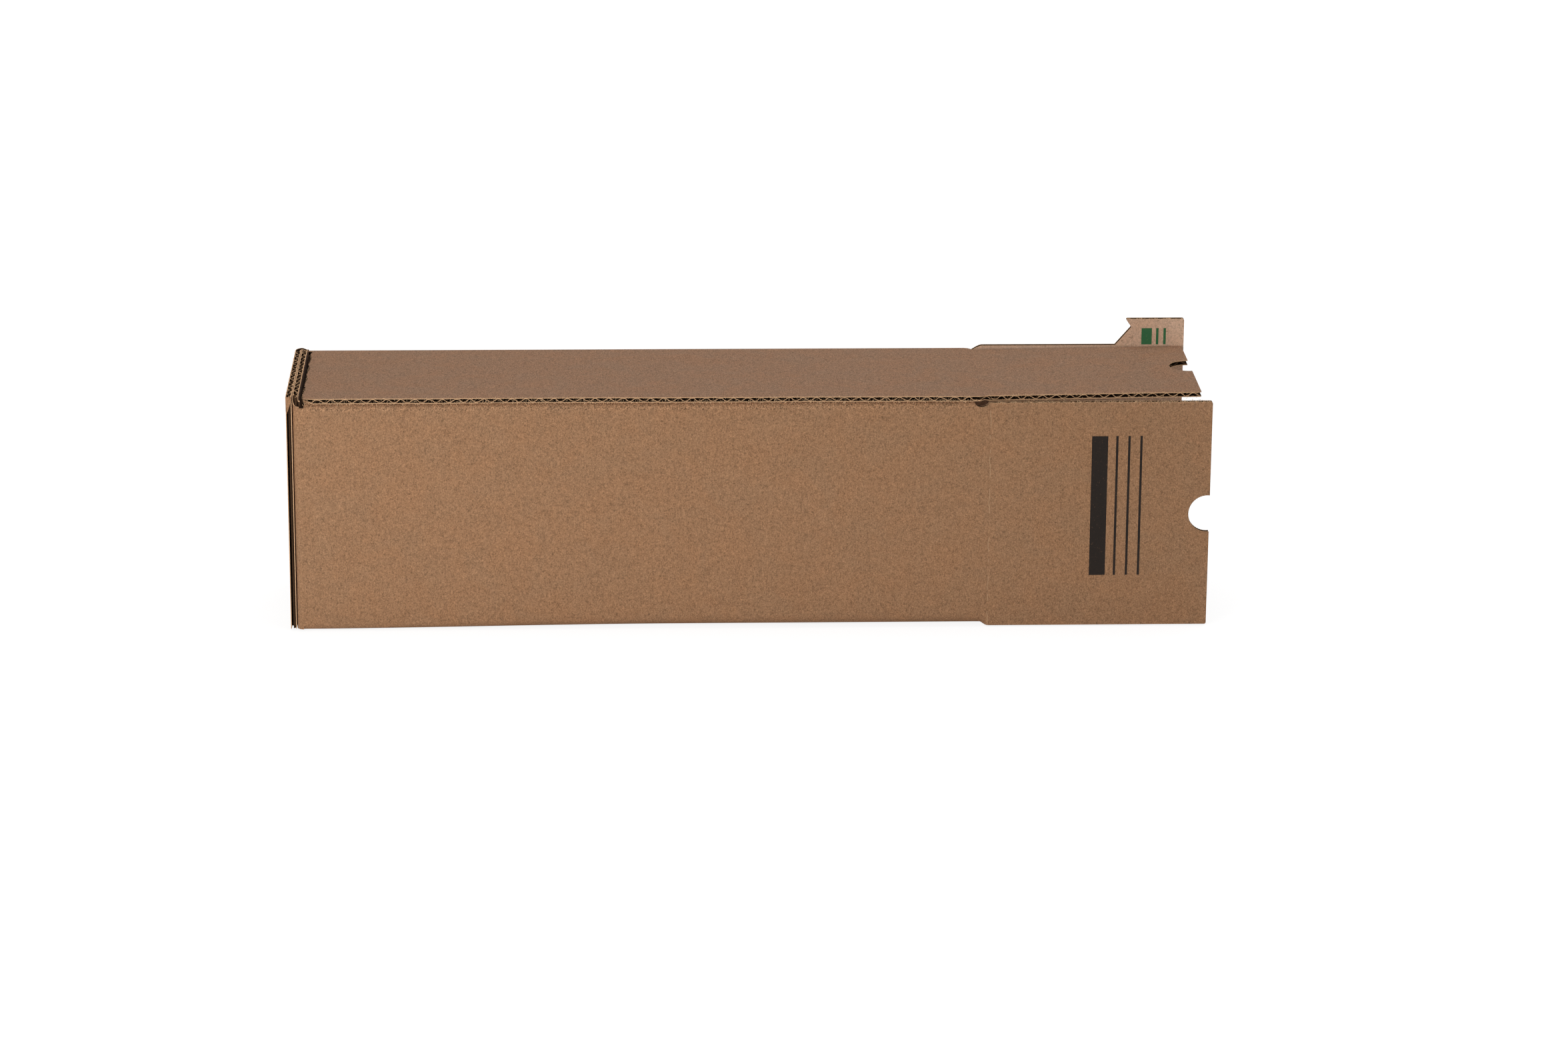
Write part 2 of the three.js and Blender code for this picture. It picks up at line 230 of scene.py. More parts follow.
@dataclass(frozen=True)
class KraftLiner:
    """Kraft liner paper: unbleached, calendered wood pulp, matt and slightly mottled.

    The eye sees a warm brown with faint clouds, fine fibre streaks along the
    machine direction, a few dark and pale specks, and the washboard of the
    waves under it.

    Attributes:
        name: material name.
        hex_code: mean colour.
        grain: axis of the fibres.
        wave_axis: axis across the washboard.
        clouds: strength of the slow colour clouds.
        contrast: strength of the mottling.
        ink: printed bars, if any.
    """

    name: str
    hex_code: str
    grain: Grain
    wave_axis: WaveAxis = WaveAxis.X
    clouds: float = 1.0
    contrast: float = 1.0
    ink: InkBars | None = None

    CLOUD_MM = 16.0
    MOTTLE_MM = 1.3
    GRAIN_MM = 0.55
    FIBRE_LENGTH_MM = 3.2
    FIBRE_WIDTH_MM = 0.35
    SPECK_MM = 2.1
    WAVE_PITCH_MM = 6.35
    MOTTLE_TONE = 0.75
    GRAIN_TONE = 1.8
    FIBRE_TONE = 0.5
    WASHBOARD_TONE = 0.008
    CLOUD_RED = 0.022
    CLOUD_BLUE = 0.02
    PALE_FIBRE_HEX = "C9A582"
    PALE_FIBRE_COVER = 0.35
    BARK_HEX = "5A412C"
    BARK_COVER = 0.45
    INK_COVER = 0.86
    INK_WORN = 0.12
    ROUGHNESS = 0.88
    SPECULAR = 0.22
    GRAIN_HEIGHT = 0.35
    FIBRE_HEIGHT = 0.5
    PAPER_BUMP = {"Strength": 0.22, "Distance": 0.06 * MM}
    WASHBOARD_BUMP = {"Strength": 0.35, "Distance": 0.03 * MM}

    def material(self) -> Material:
        """Builds the paper's node tree.

        Returns:
            The material.
        """
        made = bpy.data.materials.new(self.name)
        made.use_nodes = True
        tree = made.node_tree
        tree.nodes.clear()
        place = add_node(tree, "ShaderNodeTexCoord").outputs["Object"]
        in_mm = add_node(
            tree, "ShaderNodeMapping", {"Vector": place}, {"Scale": (1 / MM, 1 / MM, 1 / MM)}
        ).outputs[0]
        axes = add_node(tree, "ShaderNodeSeparateXYZ", {0: in_mm})

        cloud = self._noise(tree, in_mm, self.CLOUD_MM, 3.0)
        mottle = self._noise(tree, in_mm, self.MOTTLE_MM, 4.0)
        fine = self._noise(tree, in_mm, self.GRAIN_MM, 2.0)
        stretch = [1 / self.FIBRE_WIDTH_MM] * 3
        stretch[self.grain.value] = 1 / self.FIBRE_LENGTH_MM
        along = add_node(
            tree, "ShaderNodeMapping", {"Vector": in_mm}, {"Scale": tuple(stretch)}
        ).outputs[0]
        fibre = self._noise(tree, along, 1.0, 2.0)
        speck = self._noise(tree, in_mm, self.SPECK_MM, 1.0)

        wave_place = axes.outputs[self.wave_axis.value]
        phase = maths(tree, "MULTIPLY", wave_place, 2 * math.pi / self.WAVE_PITCH_MM)
        wave = maths(tree, "SINE", phase)

        tone: Socket | float = 0.0
        for noise, strength in (
            (mottle, self.MOTTLE_TONE),
            (fine, self.GRAIN_TONE),
            (fibre, self.FIBRE_TONE),
        ):
            about_zero = maths(tree, "SUBTRACT", noise, 0.5)
            tone = maths(tree, "ADD", tone, maths(tree, "MULTIPLY", about_zero, strength))
        tone = maths(tree, "MULTIPLY", tone, self.contrast)
        tone = maths(tree, "ADD", tone, maths(tree, "MULTIPLY", wave, self.WASHBOARD_TONE))
        tone = maths(tree, "ADD", tone, 1.0)

        red, blue = self.CLOUD_RED * self.clouds, self.CLOUD_BLUE * self.clouds
        warm = add_node(
            tree,
            "ShaderNodeMix",
            {0: self._band(tree, cloud, 0.35, 0.65)},
            {6: self._tinted(1 + red, 1 - blue), 7: self._tinted(1 - red, 1 + blue)},
            data_type="RGBA",
        ).outputs[2]
        toned = add_node(tree, "ShaderNodeVectorMath", {0: warm, "Scale": tone}, operation="SCALE")
        colour = self._specks(tree, toned.outputs[0], speck, fibre)
        if self.ink:
            colour = self._inked(tree, colour, axes, mottle, fine)

        grains = maths(tree, "MULTIPLY", fine, self.GRAIN_HEIGHT)
        height = maths(tree, "ADD", grains, maths(tree, "MULTIPLY", fibre, self.FIBRE_HEIGHT))
        relief = add_node(tree, "ShaderNodeBump", {"Height": height}, self.PAPER_BUMP).outputs[0]
        relief = add_node(
            tree, "ShaderNodeBump", {"Height": wave, "Normal": relief}, self.WASHBOARD_BUMP
        ).outputs[0]
        shader = add_node(
            tree,
            "ShaderNodeBsdfPrincipled",
            {"Base Color": colour, "Normal": relief},
            {"Roughness": self.ROUGHNESS, "Specular IOR Level": self.SPECULAR},
        )
        add_node(tree, "ShaderNodeOutputMaterial", {"Surface": shader.outputs[0]})
        return made

    def _noise(self, tree: Tree, vector: Socket, size_mm: float, detail: float) -> Socket:
        """Slightly twisted noise.

        Args:
            tree: the material's tree.
            vector: the place in millimetres.
            size_mm: how large its features are.
            detail: how many finer layers it has.

        Returns:
            The noise, about a half.
        """
        return add_node(
            tree,
            "ShaderNodeTexNoise",
            {"Vector": vector},
            {"Scale": 1 / size_mm, "Detail": detail, "Roughness": 0.6, "Distortion": 0.7},
        ).outputs[0]

    def _band(self, tree: Tree, socket: Socket, low: float, high: float) -> Socket:
        """The socket's share between low and high, clamped."""
        return add_node(tree, "ShaderNodeMapRange", {0: socket}, {1: low, 2: high}).outputs[0]

    def _mixed(self, tree: Tree, share: Socket, under: Socket, hex_code: str) -> Socket:
        """The colour under it, with a share of a plain colour over it."""
        over = {7: srgb(hex_code)}
        return add_node(tree, "ShaderNodeMix", {0: share, 6: under}, over, data_type="RGBA").outputs[2]

    def _tinted(self, red: float, blue: float) -> tuple[float, float, float, float]:
        """The mean colour with a little more or less red and blue."""
        r, g, b, a = srgb(self.hex_code)
        return (r * red, g, b * blue, a)

    def _specks(self, tree: Tree, colour: Socket, speck: Socket, fibre: Socket) -> Socket:
        """Sparse pale fibres and dark bark specks.

        Args:
            tree: the material's tree.
            colour: the paper's colour.
            speck: noise whose peaks are bark.
            fibre: stretched noise whose peaks are pale fibres.

        Returns:
            The colour with both over it.
        """
        pale = maths(tree, "MULTIPLY", self._band(tree, fibre, 0.70, 0.78), self.PALE_FIBRE_COVER)
        lighter = self._mixed(tree, pale, colour, self.PALE_FIBRE_HEX)
        dark = maths(tree, "MULTIPLY", self._band(tree, speck, 0.73, 0.77), self.BARK_COVER)
        return self._mixed(tree, dark, lighter, self.BARK_HEX)

    def _inked(
        self, tree: Tree, colour: Socket, axes: bpy.types.Node, mottle: Socket, fine: Socket
    ) -> Socket:
        """Flexo ink: it misses small pits, so a little kraft shows through.

        Args:
            tree: the material's tree.
            colour: the paper's colour.
            axes: the node that splits the place in millimetres.
            mottle: the paper's mottling.
            fine: its fine grain.

        Returns:
            The colour with the ink over it.
        """
        mask = self.ink.mask(tree, axes.outputs["X"], axes.outputs["Z"])
        cover = maths(tree, "MULTIPLY", maths(tree, "ADD", mottle, fine), 0.5)
        worn = maths(tree, "MULTIPLY", self._band(tree, cover, 0.66, 0.60), self.INK_WORN)
        amount = maths(tree, "MULTIPLY", mask, maths(tree, "ADD", worn, self.INK_COVER))
        return self._mixed(tree, amount, colour, self.ink.hex_code)


@dataclass(frozen=True)
class CutPaper:
    """The cut edge of a paper, or the rough waved paper itself.

    A die-cut liner shows a pale rough edge that catches the light. The waved paper is coarse recycled stock,
    coloured dark as painted shade for where it lies between its liners; the liners' sides that face the
    waves are coloured dark the same way.

    Attributes:
        name: material name.
        hex_code: mean colour.
        contrast: strength of its blotches.
    """

    name: str
    hex_code: str
    contrast: float = 0.3

    BLOTCH_MM = 0.7
    ROUGHNESS = 0.95
    SPECULAR = 0.1

    def material(self) -> Material:
        """Builds the paper's node tree.

        Returns:
            The material.
        """
        made = bpy.data.materials.new(self.name)
        made.use_nodes = True
        tree = made.node_tree
        tree.nodes.clear()
        place = add_node(tree, "ShaderNodeTexCoord").outputs["Object"]
        blotch = add_node(
            tree,
            "ShaderNodeTexNoise",
            {"Vector": place},
            {"Scale": 1 / (self.BLOTCH_MM * MM), "Detail": 3.0, "Roughness": 0.65},
        ).outputs[0]
        about_zero = maths(tree, "SUBTRACT", blotch, 0.5)
        tone = maths(tree, "ADD", maths(tree, "MULTIPLY", about_zero, self.contrast), 1.0)
        toned = add_node(
            tree, "ShaderNodeVectorMath", {"Scale": tone}, {0: srgb(self.hex_code)[:3]}, operation="SCALE"
        )
        relief = add_node(
            tree, "ShaderNodeBump", {"Height": blotch}, {"Strength": 0.5, "Distance": 0.1 * MM}
        ).outputs[0]
        shader = add_node(
            tree,
            "ShaderNodeBsdfPrincipled",
            {"Base Color": toned.outputs[0], "Normal": relief},
            {"Roughness": self.ROUGHNESS, "Specular IOR Level": self.SPECULAR},
        )
        add_node(tree, "ShaderNodeOutputMaterial", {"Surface": shader.outputs[0]})
        return made


# Mesh helpers


def mesh_object(name: str, points: np.ndarray, faces: Sequence[Sequence[int]]) -> Object:
    """A mesh object at the origin.

    Args:
        name: the object's name.
        points: vertices in millimetres, in the box's frame.
        faces: vertex indices of each face.

    Returns:
        The object, linked to the scene.
    """
    mesh = bpy.data.meshes.new(name)
    mesh.from_pydata((np.asarray(points) * MM).tolist(), [], [tuple(f) for f in faces])
    mesh.update()
    made = bpy.data.objects.new(name, mesh)
    bpy.context.scene.collection.objects.link(made)
    return made


def grid_faces(rows: int, columns: int) -> list[tuple[int, int, int, int]]:
    """Quads between a grid of vertices.

    Args:
        rows: number of rows.
        columns: number of vertices in a row.

    Returns:
        Each quad's vertex indices.
    """
    return [
        (i * columns + j, i * columns + j + 1, (i + 1) * columns + j + 1, (i + 1) * columns + j)
        for i in range(rows - 1)
        for j in range(columns - 1)
    ]


SIDE_MARK = "side"


class Side(Enum):
    """Where a face of a closed sheet lies; new cut faces are CUT."""

    CUT = 0
    FIRST = 1
    SECOND = 2
    RIM = 3


def closed_sheet(name: str, outer: np.ndarray, inner: np.ndarray) -> Object:
    """A closed thin body between two grids of points.

    Args:
        name: the object's name.
        outer: rows x columns x 3 points of the one face, in millimetres.
        inner: the same grid on the other face.

    Returns:
        The object, with its faces pointing out.
    """
    rows, columns, _ = outer.shape
    count = rows * columns
    points = np.vstack([outer.reshape(-1, 3), inner.reshape(-1, 3)])
    front = grid_faces(rows, columns)
    back = [tuple(index + count for index in reversed(face)) for face in front]
    ring = (
        [j for j in range(columns)]
        + [i * columns + columns - 1 for i in range(1, rows)]
        + [(rows - 1) * columns + j for j in range(columns - 2, -1, -1)]
        + [i * columns for i in range(rows - 2, 0, -1)]
    )
    rims = [(b, a, a + count, b + count) for a, b in zip(ring, ring[1:] + ring[:1])]
    made = mesh_object(name, points, front + back + rims)
    sides = [Side.FIRST.value] * len(front) + [Side.SECOND.value] * len(back) + [Side.RIM.value] * len(rims)
    made.data.attributes.new(SIDE_MARK, "INT", "FACE").data.foreach_set("value", sides)
    outward(made)
    return made


def outward(piece: Object) -> None:
    """Turns a closed mesh's faces outwards.

    Args:
        piece: the mesh.
    """
    work = bmesh.new()
    work.from_mesh(piece.data)
    bmesh.ops.recalc_face_normals(work, faces=work.faces)
    work.to_mesh(piece.data)
    work.free()


def prism(name: str, outline: Sequence[Point], depth: Point) -> Object:
    """A flat outline swept along a vector, as a closed solid.

    Args:
        name: the object's name.
        outline: its corners in order, in millimetres.
        depth: the sweep.

    Returns:
        The solid.
    """
    count = len(outline)
    base = np.array(outline, float)
    points = np.vstack([base, base + np.array(depth)])
    faces: list[tuple[int, ...]] = [tuple(range(count)), tuple(range(2 * count - 1, count - 1, -1))]
    faces += [(i, (i + 1) % count, (i + 1) % count + count, i + count) for i in range(count)]
    made = mesh_object(name, points, faces)
    outward(made)
    return made


def block(name: str, low: Point, high: Point) -> Object:
    """A plain cutter block.

    Args:
        name: the object's name.
        low: its lowest corner, in millimetres.
        high: its highest corner.

    Returns:
        The solid.
    """
    (x0, y0, z0), (x1, y1, z1) = low, high
    corners = [(x0, y0, z0), (x1, y0, z0), (x1, y1, z0), (x0, y1, z0)]
    return prism(name, corners, (0, 0, z1 - z0))


def baked(piece: Object) -> Object:
    """Applies what modifiers made, and removes them.

    Args:
        piece: the object.

    Returns:
        The same object, with its final mesh.
    """
    graph = bpy.context.evaluated_depsgraph_get()
    final = bpy.data.meshes.new_from_object(piece.evaluated_get(graph), depsgraph=graph)
    piece.modifiers.clear()
    old = piece.data
    piece.data = final
    bpy.data.meshes.remove(old)
    return piece


def trimmed(piece: Object, cutter: Object, keep_inside: bool) -> Object:
    """Cuts a closed piece with a closed cutter, and deletes the cutter.

    Args:
        piece: what is cut.
        cutter: the solid that cuts.
        keep_inside: True keeps what lies in the cutter, False what lies outside.

    Returns:
        The piece.
    """
    cut = piece.modifiers.new("cut", "BOOLEAN")
    cut.operation = "INTERSECT" if keep_inside else "DIFFERENCE"
    cut.solver = "MANIFOLD"
    cut.object = cutter
    baked(piece)
    remove(cutter)
    return piece


def remove(piece: Object) -> None:
    """Deletes an object and its mesh.

    Args:
        piece: the object.
    """
    mesh = piece.data
    bpy.data.objects.remove(piece)
    bpy.data.meshes.remove(mesh)


def joined(name: str, parts: Sequence[Object]) -> Object:
    """Several meshes as one object, with their materials kept.

    Args:
        name: the new object's name.
        parts: what goes into it, and is deleted.

    Returns:
        The new object.
    """
    materials: list[Material] = []
    work = bmesh.new()
    for part in parts:
        slots = [slot.material for slot in part.material_slots] or [None]
        places = []
        for material in slots:
            if material not in materials:
                materials.append(material)
            places.append(materials.index(material))
        start = len(work.faces)
        work.from_mesh(part.data)
        work.faces.ensure_lookup_table()
        for face in work.faces[start:]:
            face.material_index = places[min(face.material_index, len(places) - 1)]
    mesh = bpy.data.meshes.new(name)
    work.to_mesh(mesh)
    work.free()
    for material in materials:
        mesh.materials.append(material)
    made = bpy.data.objects.new(name, mesh)
    bpy.context.scene.collection.objects.link(made)
    for part in parts:
        remove(part)
    return made


def moved_points(piece: Object, rule: Callable[[np.ndarray], np.ndarray]) -> None:
    """Moves a mesh's points.

    Args:
        piece: the mesh.
        rule: takes their places in millimetres, and returns the new ones.
    """
    count = len(piece.data.vertices)
    flat = np.empty(count * 3)
    piece.data.vertices.foreach_get("co", flat)
    points = rule(flat.reshape(-1, 3) / MM)
    piece.data.vertices.foreach_set("co", (points * MM).ravel())
    piece.data.update()


def ease(values: np.ndarray | float, low: float, high: float) -> np.ndarray:
    """Smooth step from 0 at low to 1 at high."""
    share = np.clip((np.asarray(values, float) - low) / (high - low), 0, 1)
    return share * share * (3 - 2 * share)


def ripple(values: np.ndarray, seed: float) -> np.ndarray:
    """A slow irregular wave between about -1 and 1.

    Args:
        values: places in millimetres.
        seed: picks the wave.

    Returns:
        Its height at each place.
    """
    return (
        np.sin(values * 0.021 + seed * 1.7)
        + 0.6 * np.sin(values * 0.053 + seed * 3.1)
        + 0.35 * np.sin(values * 0.127 + seed * 5.3)
    ) / 1.95


# Geometry Nodes


def tree_input(tree: Tree, name: str, kind: str, value: object = None) -> None:
    """Adds one named input to a geometry tree.

    Args:
        tree: the tree.
        name: the input's name.
        kind: its socket's type.
        value: what it holds by default.
    """
    socket = tree.interface.new_socket(name, in_out="INPUT", socket_type=kind)
    if value is not None:
        socket.default_value = value


def set_inputs(
    modifier: bpy.types.NodesModifier, tree: Tree, values: dict[str, object]
) -> None:
    """Sets a modifier's inputs by the identifiers of its named sockets.

    Args:
        modifier: the modifier.
        tree: its tree.
        values: each input by its name.
    """
    names = {item.name: item.identifier for item in tree.interface.items_tree if item.in_out == "INPUT"}
    for name, value in values.items():
        modifier[names[name]] = value


class FlutedMedium:
    """The waved paper between two liners, made by a geometry tree.

    A line runs along the waves, is bent to a sine with some crushed crests,
    and carries a flat strip as wide as the board.
    """

    PHASE_DRIFT = 0.12
    FRAY = 0.32

    def __init__(self) -> None:
        """Builds the tree once."""
        tree = bpy.data.node_groups.new("fluted_medium", "GeometryNodeTree")
        tree.interface.new_socket("Geometry", in_out="OUTPUT", socket_type="NodeSocketGeometry")
        for name, value in (
            ("Length", 0.1), ("Width", 0.08), ("Pitch", 0.00635), ("Rise", 0.0018),
            ("Paper", 0.0003), ("Crush", 0.0003), ("Start", 0.0), ("Seed", 0.0),
        ):
            tree_input(tree, name, "NodeSocketFloat", value)
        tree_input(tree, "Steps", "NodeSocketInt", 14)
        tree_input(tree, "Finish", "NodeSocketMaterial")
        given = add_node(tree, "NodeGroupInput").outputs
        line = add_node(tree, "GeometryNodeCurvePrimitiveLine", None, {"End": (1.0, 0.0, 0.0)})
        end = add_node(tree, "ShaderNodeCombineXYZ", {"X": given["Length"]})
        tree.links.new(end.outputs[0], line.inputs["End"])
        waves = maths(tree, "DIVIDE", given["Length"], given["Pitch"])
        count = maths(tree, "ADD", maths(tree, "MULTIPLY", waves, given["Steps"]), 1.0)
        fine = add_node(
            tree, "GeometryNodeResampleCurve", {"Curve": line.outputs[0], "Count": count}
        )
        place = add_node(tree, "GeometryNodeInputPosition").outputs[0]
        run = add_node(tree, "ShaderNodeSeparateXYZ", {0: place}).outputs["X"]
        turns = maths(tree, "DIVIDE", maths(tree, "ADD", run, given["Start"]), given["Pitch"])
        slow = self._noise(tree, turns, given["Seed"], 0.9, 1.0)
        quick = self._noise(tree, turns, given["Seed"], 3.4, 7.0)
        sway = self._noise(tree, turns, given["Seed"], 2.6, 13.0)
        phase = maths(tree, "ADD", turns, maths(tree, "MULTIPLY", slow, self.PHASE_DRIFT))
        angle = maths(tree, "MULTIPLY", phase, 2 * math.pi)
        limit = maths(tree, "MULTIPLY", given["Rise"], 0.5)
        high = maths(tree, "MULTIPLY", maths(tree, "SINE", angle), limit)
        rough = maths(tree, "ADD", high, maths(tree, "MULTIPLY", quick, given["Crush"]))
        lowest = maths(tree, "MULTIPLY", limit, -1.0)
        clipped = maths(tree, "MAXIMUM", maths(tree, "MINIMUM", rough, limit), lowest)
        aside = maths(tree, "MULTIPLY", sway, given["Crush"])
        shifted = add_node(tree, "ShaderNodeCombineXYZ", {"X": maths(tree, "ADD", run, aside), "Z": clipped})
        bent = add_node(
            tree, "GeometryNodeSetPosition", {"Geometry": fine.outputs[0], "Position": shifted.outputs[0]}
        )
        upright = add_node(tree, "GeometryNodeSetCurveNormal", {"Curve": bent.outputs[0]}, mode="Z_UP")
        strip = add_node(
            tree,
            "GeometryNodeCurvePrimitiveQuadrilateral",
            {"Width": given["Width"], "Height": given["Paper"]},
        )
        swept = add_node(
            tree,
            "GeometryNodeCurveToMesh",
            {"Curve": upright.outputs[0], "Profile Curve": strip.outputs[0]},
            {"Fill Caps": True},
        )
        real = add_node(tree, "GeometryNodeRealizeInstances", {0: swept.outputs[0]})
        dressed = add_node(
            tree, "GeometryNodeSetMaterial", {"Geometry": real.outputs[0], "Material": given["Finish"]}
        )
        add_node(tree, "NodeGroupOutput", {0: dressed.outputs[0]})
        self.tree = tree

    def _noise(self, tree: Tree, turns: Socket, seed: Socket, rate: float, shift: float) -> Socket:
        """Noise along the waves.

        Args:
            tree: the geometry tree.
            turns: how many waves lie before the place.
            seed: of the noise.
            rate: its features in one wave.
            shift: keeps one noise apart from another.

        Returns:
            The noise, about zero.
        """
        own = maths(tree, "ADD", seed, shift)
        spot = maths(tree, "ADD", maths(tree, "MULTIPLY", turns, rate), own)
        plain = {"Scale": 1.0, "Detail": 1.0}
        texture = add_node(tree, "ShaderNodeTexNoise", {"W": spot}, plain, noise_dimensions="1D")
        return maths(tree, "SUBTRACT", texture.outputs[0], 0.5)

    def make(
        self,
        name: str,
        board: "Board",
        length: float,
        width: float,
        place: Matrix,
        palette: "Palette",
        start: float = 0.0,
        seed: float = 0.0,
        crush: float | None = None,
    ) -> Object:
        """A stretch of waved paper.

        Args:
            name: the object's name.
            board: the board's sizes.
            length: across the waves, in millimetres.
            width: along the waves.
            place: turns and moves it from its own frame, where it starts at the
                origin, runs along +X, and has its width across Y and rise on Z.
            palette: the finishes.
            start: where in the wave it starts.
            seed: of its irregular crests.
            crush: how far crests are pushed out of place.

        Returns:
            The closed mesh.
        """
        made = mesh_object(name, np.zeros((1, 3)), [])
        modifier = made.modifiers.new("waves", "NODES")
        modifier.node_group = self.tree
        set_inputs(
            modifier,
            self.tree,
            {
                "Length": length * MM,
                "Width": width * MM,
                "Pitch": board.pitch * MM,
                "Rise": (board.thickness - 2 * board.liner - board.medium) * MM,
                "Paper": board.medium * MM,
                "Crush": (board.crush if crush is None else crush) * MM,
                "Start": start * MM,
                "Seed": seed,
                "Steps": board.steps,
                "Finish": palette.medium,
            },
        )
        baked(made)
        self._fray(made, width, int(seed * 10) + 1)
        # The waved paper's faces take the dark painted-shade paper; its cut edges take the pale edge colour.
        paint(
            made, [palette.medium, palette.edge],
            lambda centres, normals, marks: np.where(np.abs(normals[:, 1]) > 0.6, 1, 0),
        )
        made.data.transform(place)
        outward(made)
        return made

    def _fray(self, piece: Object, width: float, seed: int) -> None:
        """Tears the strip's two long edges a little, always the same for a seed.

        Args:
            piece: the strip, in its own frame.
            width: its width in millimetres.
            seed: of the tears.
        """
        random = np.random.default_rng(seed)

        def tear(points: np.ndarray) -> np.ndarray:
            """Draws the points of both edges back by chance.

            Args:
                points: places in millimetres.

            Returns:
                The moved places.
            """
            moved = points.copy()
            at_edge = np.abs(np.abs(points[:, 1]) - width / 2) < 0.01
            back = random.uniform(0, self.FRAY, len(points)) * at_edge
            moved[:, 1] -= np.sign(points[:, 1]) * back
            return moved

        moved_points(piece, tear)


class TornFibres:
    """Short loose fibres along a raw edge or a cracked crease, made by a geometry tree."""

    SCALES = (0.4, 1.3)
    BOW = 0.35

    def __init__(self) -> None:
        """Builds the tree once."""
        tree = bpy.data.node_groups.new("torn_fibres", "GeometryNodeTree")
        tree.interface.new_socket("Geometry", in_out="OUTPUT", socket_type="NodeSocketGeometry")
        tree_input(tree, "Edge", "NodeSocketGeometry")
        for name, value in (
            ("Spacing", 0.001), ("Length", 0.0009), ("Thickness", 0.00005), ("Scatter", 0.0002),
        ):
            tree_input(tree, name, "NodeSocketFloat", value)
        tree_input(tree, "Seed", "NodeSocketInt", 1)
        tree_input(tree, "Finish", "NodeSocketMaterial")
        given = add_node(tree, "NodeGroupInput").outputs
        path = add_node(tree, "GeometryNodeMeshToCurve", {0: given["Edge"]})
        spots = add_node(
            tree,
            "GeometryNodeResampleCurve",
            {"Curve": path.outputs[0], "Length": given["Spacing"]},
            mode="LENGTH",
        )
        reach = maths(tree, "MULTIPLY", given["Scatter"], -1.0)
        low = add_node(tree, "ShaderNodeCombineXYZ", {0: reach, 1: reach, 2: reach})
        high = add_node(
            tree, "ShaderNodeCombineXYZ", {0: given["Scatter"], 1: given["Scatter"], 2: given["Scatter"]}
        )
        jitter = add_node(
            tree,
            "FunctionNodeRandomValue",
            {"Min": low.outputs[0], "Max": high.outputs[0], "Seed": given["Seed"]},
            data_type="FLOAT_VECTOR",
        )
        spread = add_node(
            tree, "GeometryNodeSetPosition", {"Geometry": spots.outputs[0], "Offset": jitter.outputs[0]}
        )
        hair = self._hair(tree, given["Length"], given["Thickness"])
        turn = add_node(
            tree,
            "FunctionNodeRandomValue",
            {"Seed": maths(tree, "ADD", given["Seed"], 11.0)},
            data_type="FLOAT_VECTOR",
        )
        turn.inputs["Min"].default_value = (-math.pi, -math.pi, -math.pi)
        turn.inputs["Max"].default_value = (math.pi, math.pi, math.pi)
        size = add_node(
            tree,
            "FunctionNodeRandomValue",
            {"Seed": maths(tree, "ADD", given["Seed"], 23.0)},
            {2: self.SCALES[0], 3: self.SCALES[1]},
            data_type="FLOAT",
        )
        placed = add_node(
            tree,
            "GeometryNodeInstanceOnPoints",
            {
                "Points": spread.outputs[0],
                "Instance": hair,
                "Rotation": turn.outputs[0],
                "Scale": size.outputs[1],
            },
        )
        real = add_node(tree, "GeometryNodeRealizeInstances", {0: placed.outputs[0]})
        dressed = add_node(
            tree, "GeometryNodeSetMaterial", {"Geometry": real.outputs[0], "Material": given["Finish"]}
        )
        add_node(tree, "NodeGroupOutput", {0: dressed.outputs[0]})
        self.tree = tree

    def _hair(self, tree: Tree, length: Socket, thickness: Socket) -> Socket:
        """One bent fibre with a triangular section.

        Args:
            tree: the geometry tree.
            length: of the fibre.
            thickness: radius of its section.

        Returns:
            Its mesh.
        """
        start = maths(tree, "MULTIPLY", length, -0.5)
        rise = maths(tree, "MULTIPLY", length, self.BOW)
        half = maths(tree, "MULTIPLY", length, 0.5)
        bow = add_node(
            tree,
            "GeometryNodeCurveQuadraticBezier",
            {
                "Start": add_node(tree, "ShaderNodeCombineXYZ", {0: start}).outputs[0],
                "Middle": add_node(tree, "ShaderNodeCombineXYZ", {2: rise}).outputs[0],
                "End": add_node(tree, "ShaderNodeCombineXYZ", {0: half}).outputs[0],
            },
            {"Resolution": 3},
        )
        section = add_node(
            tree, "GeometryNodeCurvePrimitiveCircle", {"Radius": thickness}, {"Resolution": 3}
        )
        return add_node(
            tree,
            "GeometryNodeCurveToMesh",
            {"Curve": bow.outputs[0], "Profile Curve": section.outputs[0]},
            {"Fill Caps": True},
        ).outputs[0]

    def make(
        self,
        name: str,
        edges: Sequence[Sequence[Point]],
        finish: Material,
        spacing: float,
        length: float,
        scatter: float,
        seed: int,
        thickness: float = 0.035,
    ) -> Object:
        """Fibres along some lines.

        Args:
            name: the object's name.
            edges: each line's points, in millimetres.
            finish: the fibres' material.
            spacing: between fibres.
            length: of a middling fibre.
            scatter: how far they stray from the line.
            seed: of their places and turns.
            thickness: radius of a fibre.

        Returns:
            One mesh of all the fibres.
        """
        points: list[Point] = []
        links: list[tuple[int, int]] = []
        for edge in edges:
            start = len(points)
            points += list(edge)
            links += [(start + i, start + i + 1) for i in range(len(edge) - 1)]
        mesh = bpy.data.meshes.new(name)
        mesh.from_pydata((np.array(points) * MM).tolist(), links, [])
        made = bpy.data.objects.new(name, mesh)
        bpy.context.scene.collection.objects.link(made)
        modifier = made.modifiers.new("fibres", "NODES")
        modifier.node_group = self.tree
        set_inputs(
            modifier,
            self.tree,
            {
                "Spacing": spacing * MM,
                "Length": length * MM,
                "Thickness": thickness * MM,
                "Scatter": scatter * MM,
                "Seed": seed,
                "Finish": finish,
            },
        )
        baked(made)
        outward(made)
        return made


# The board


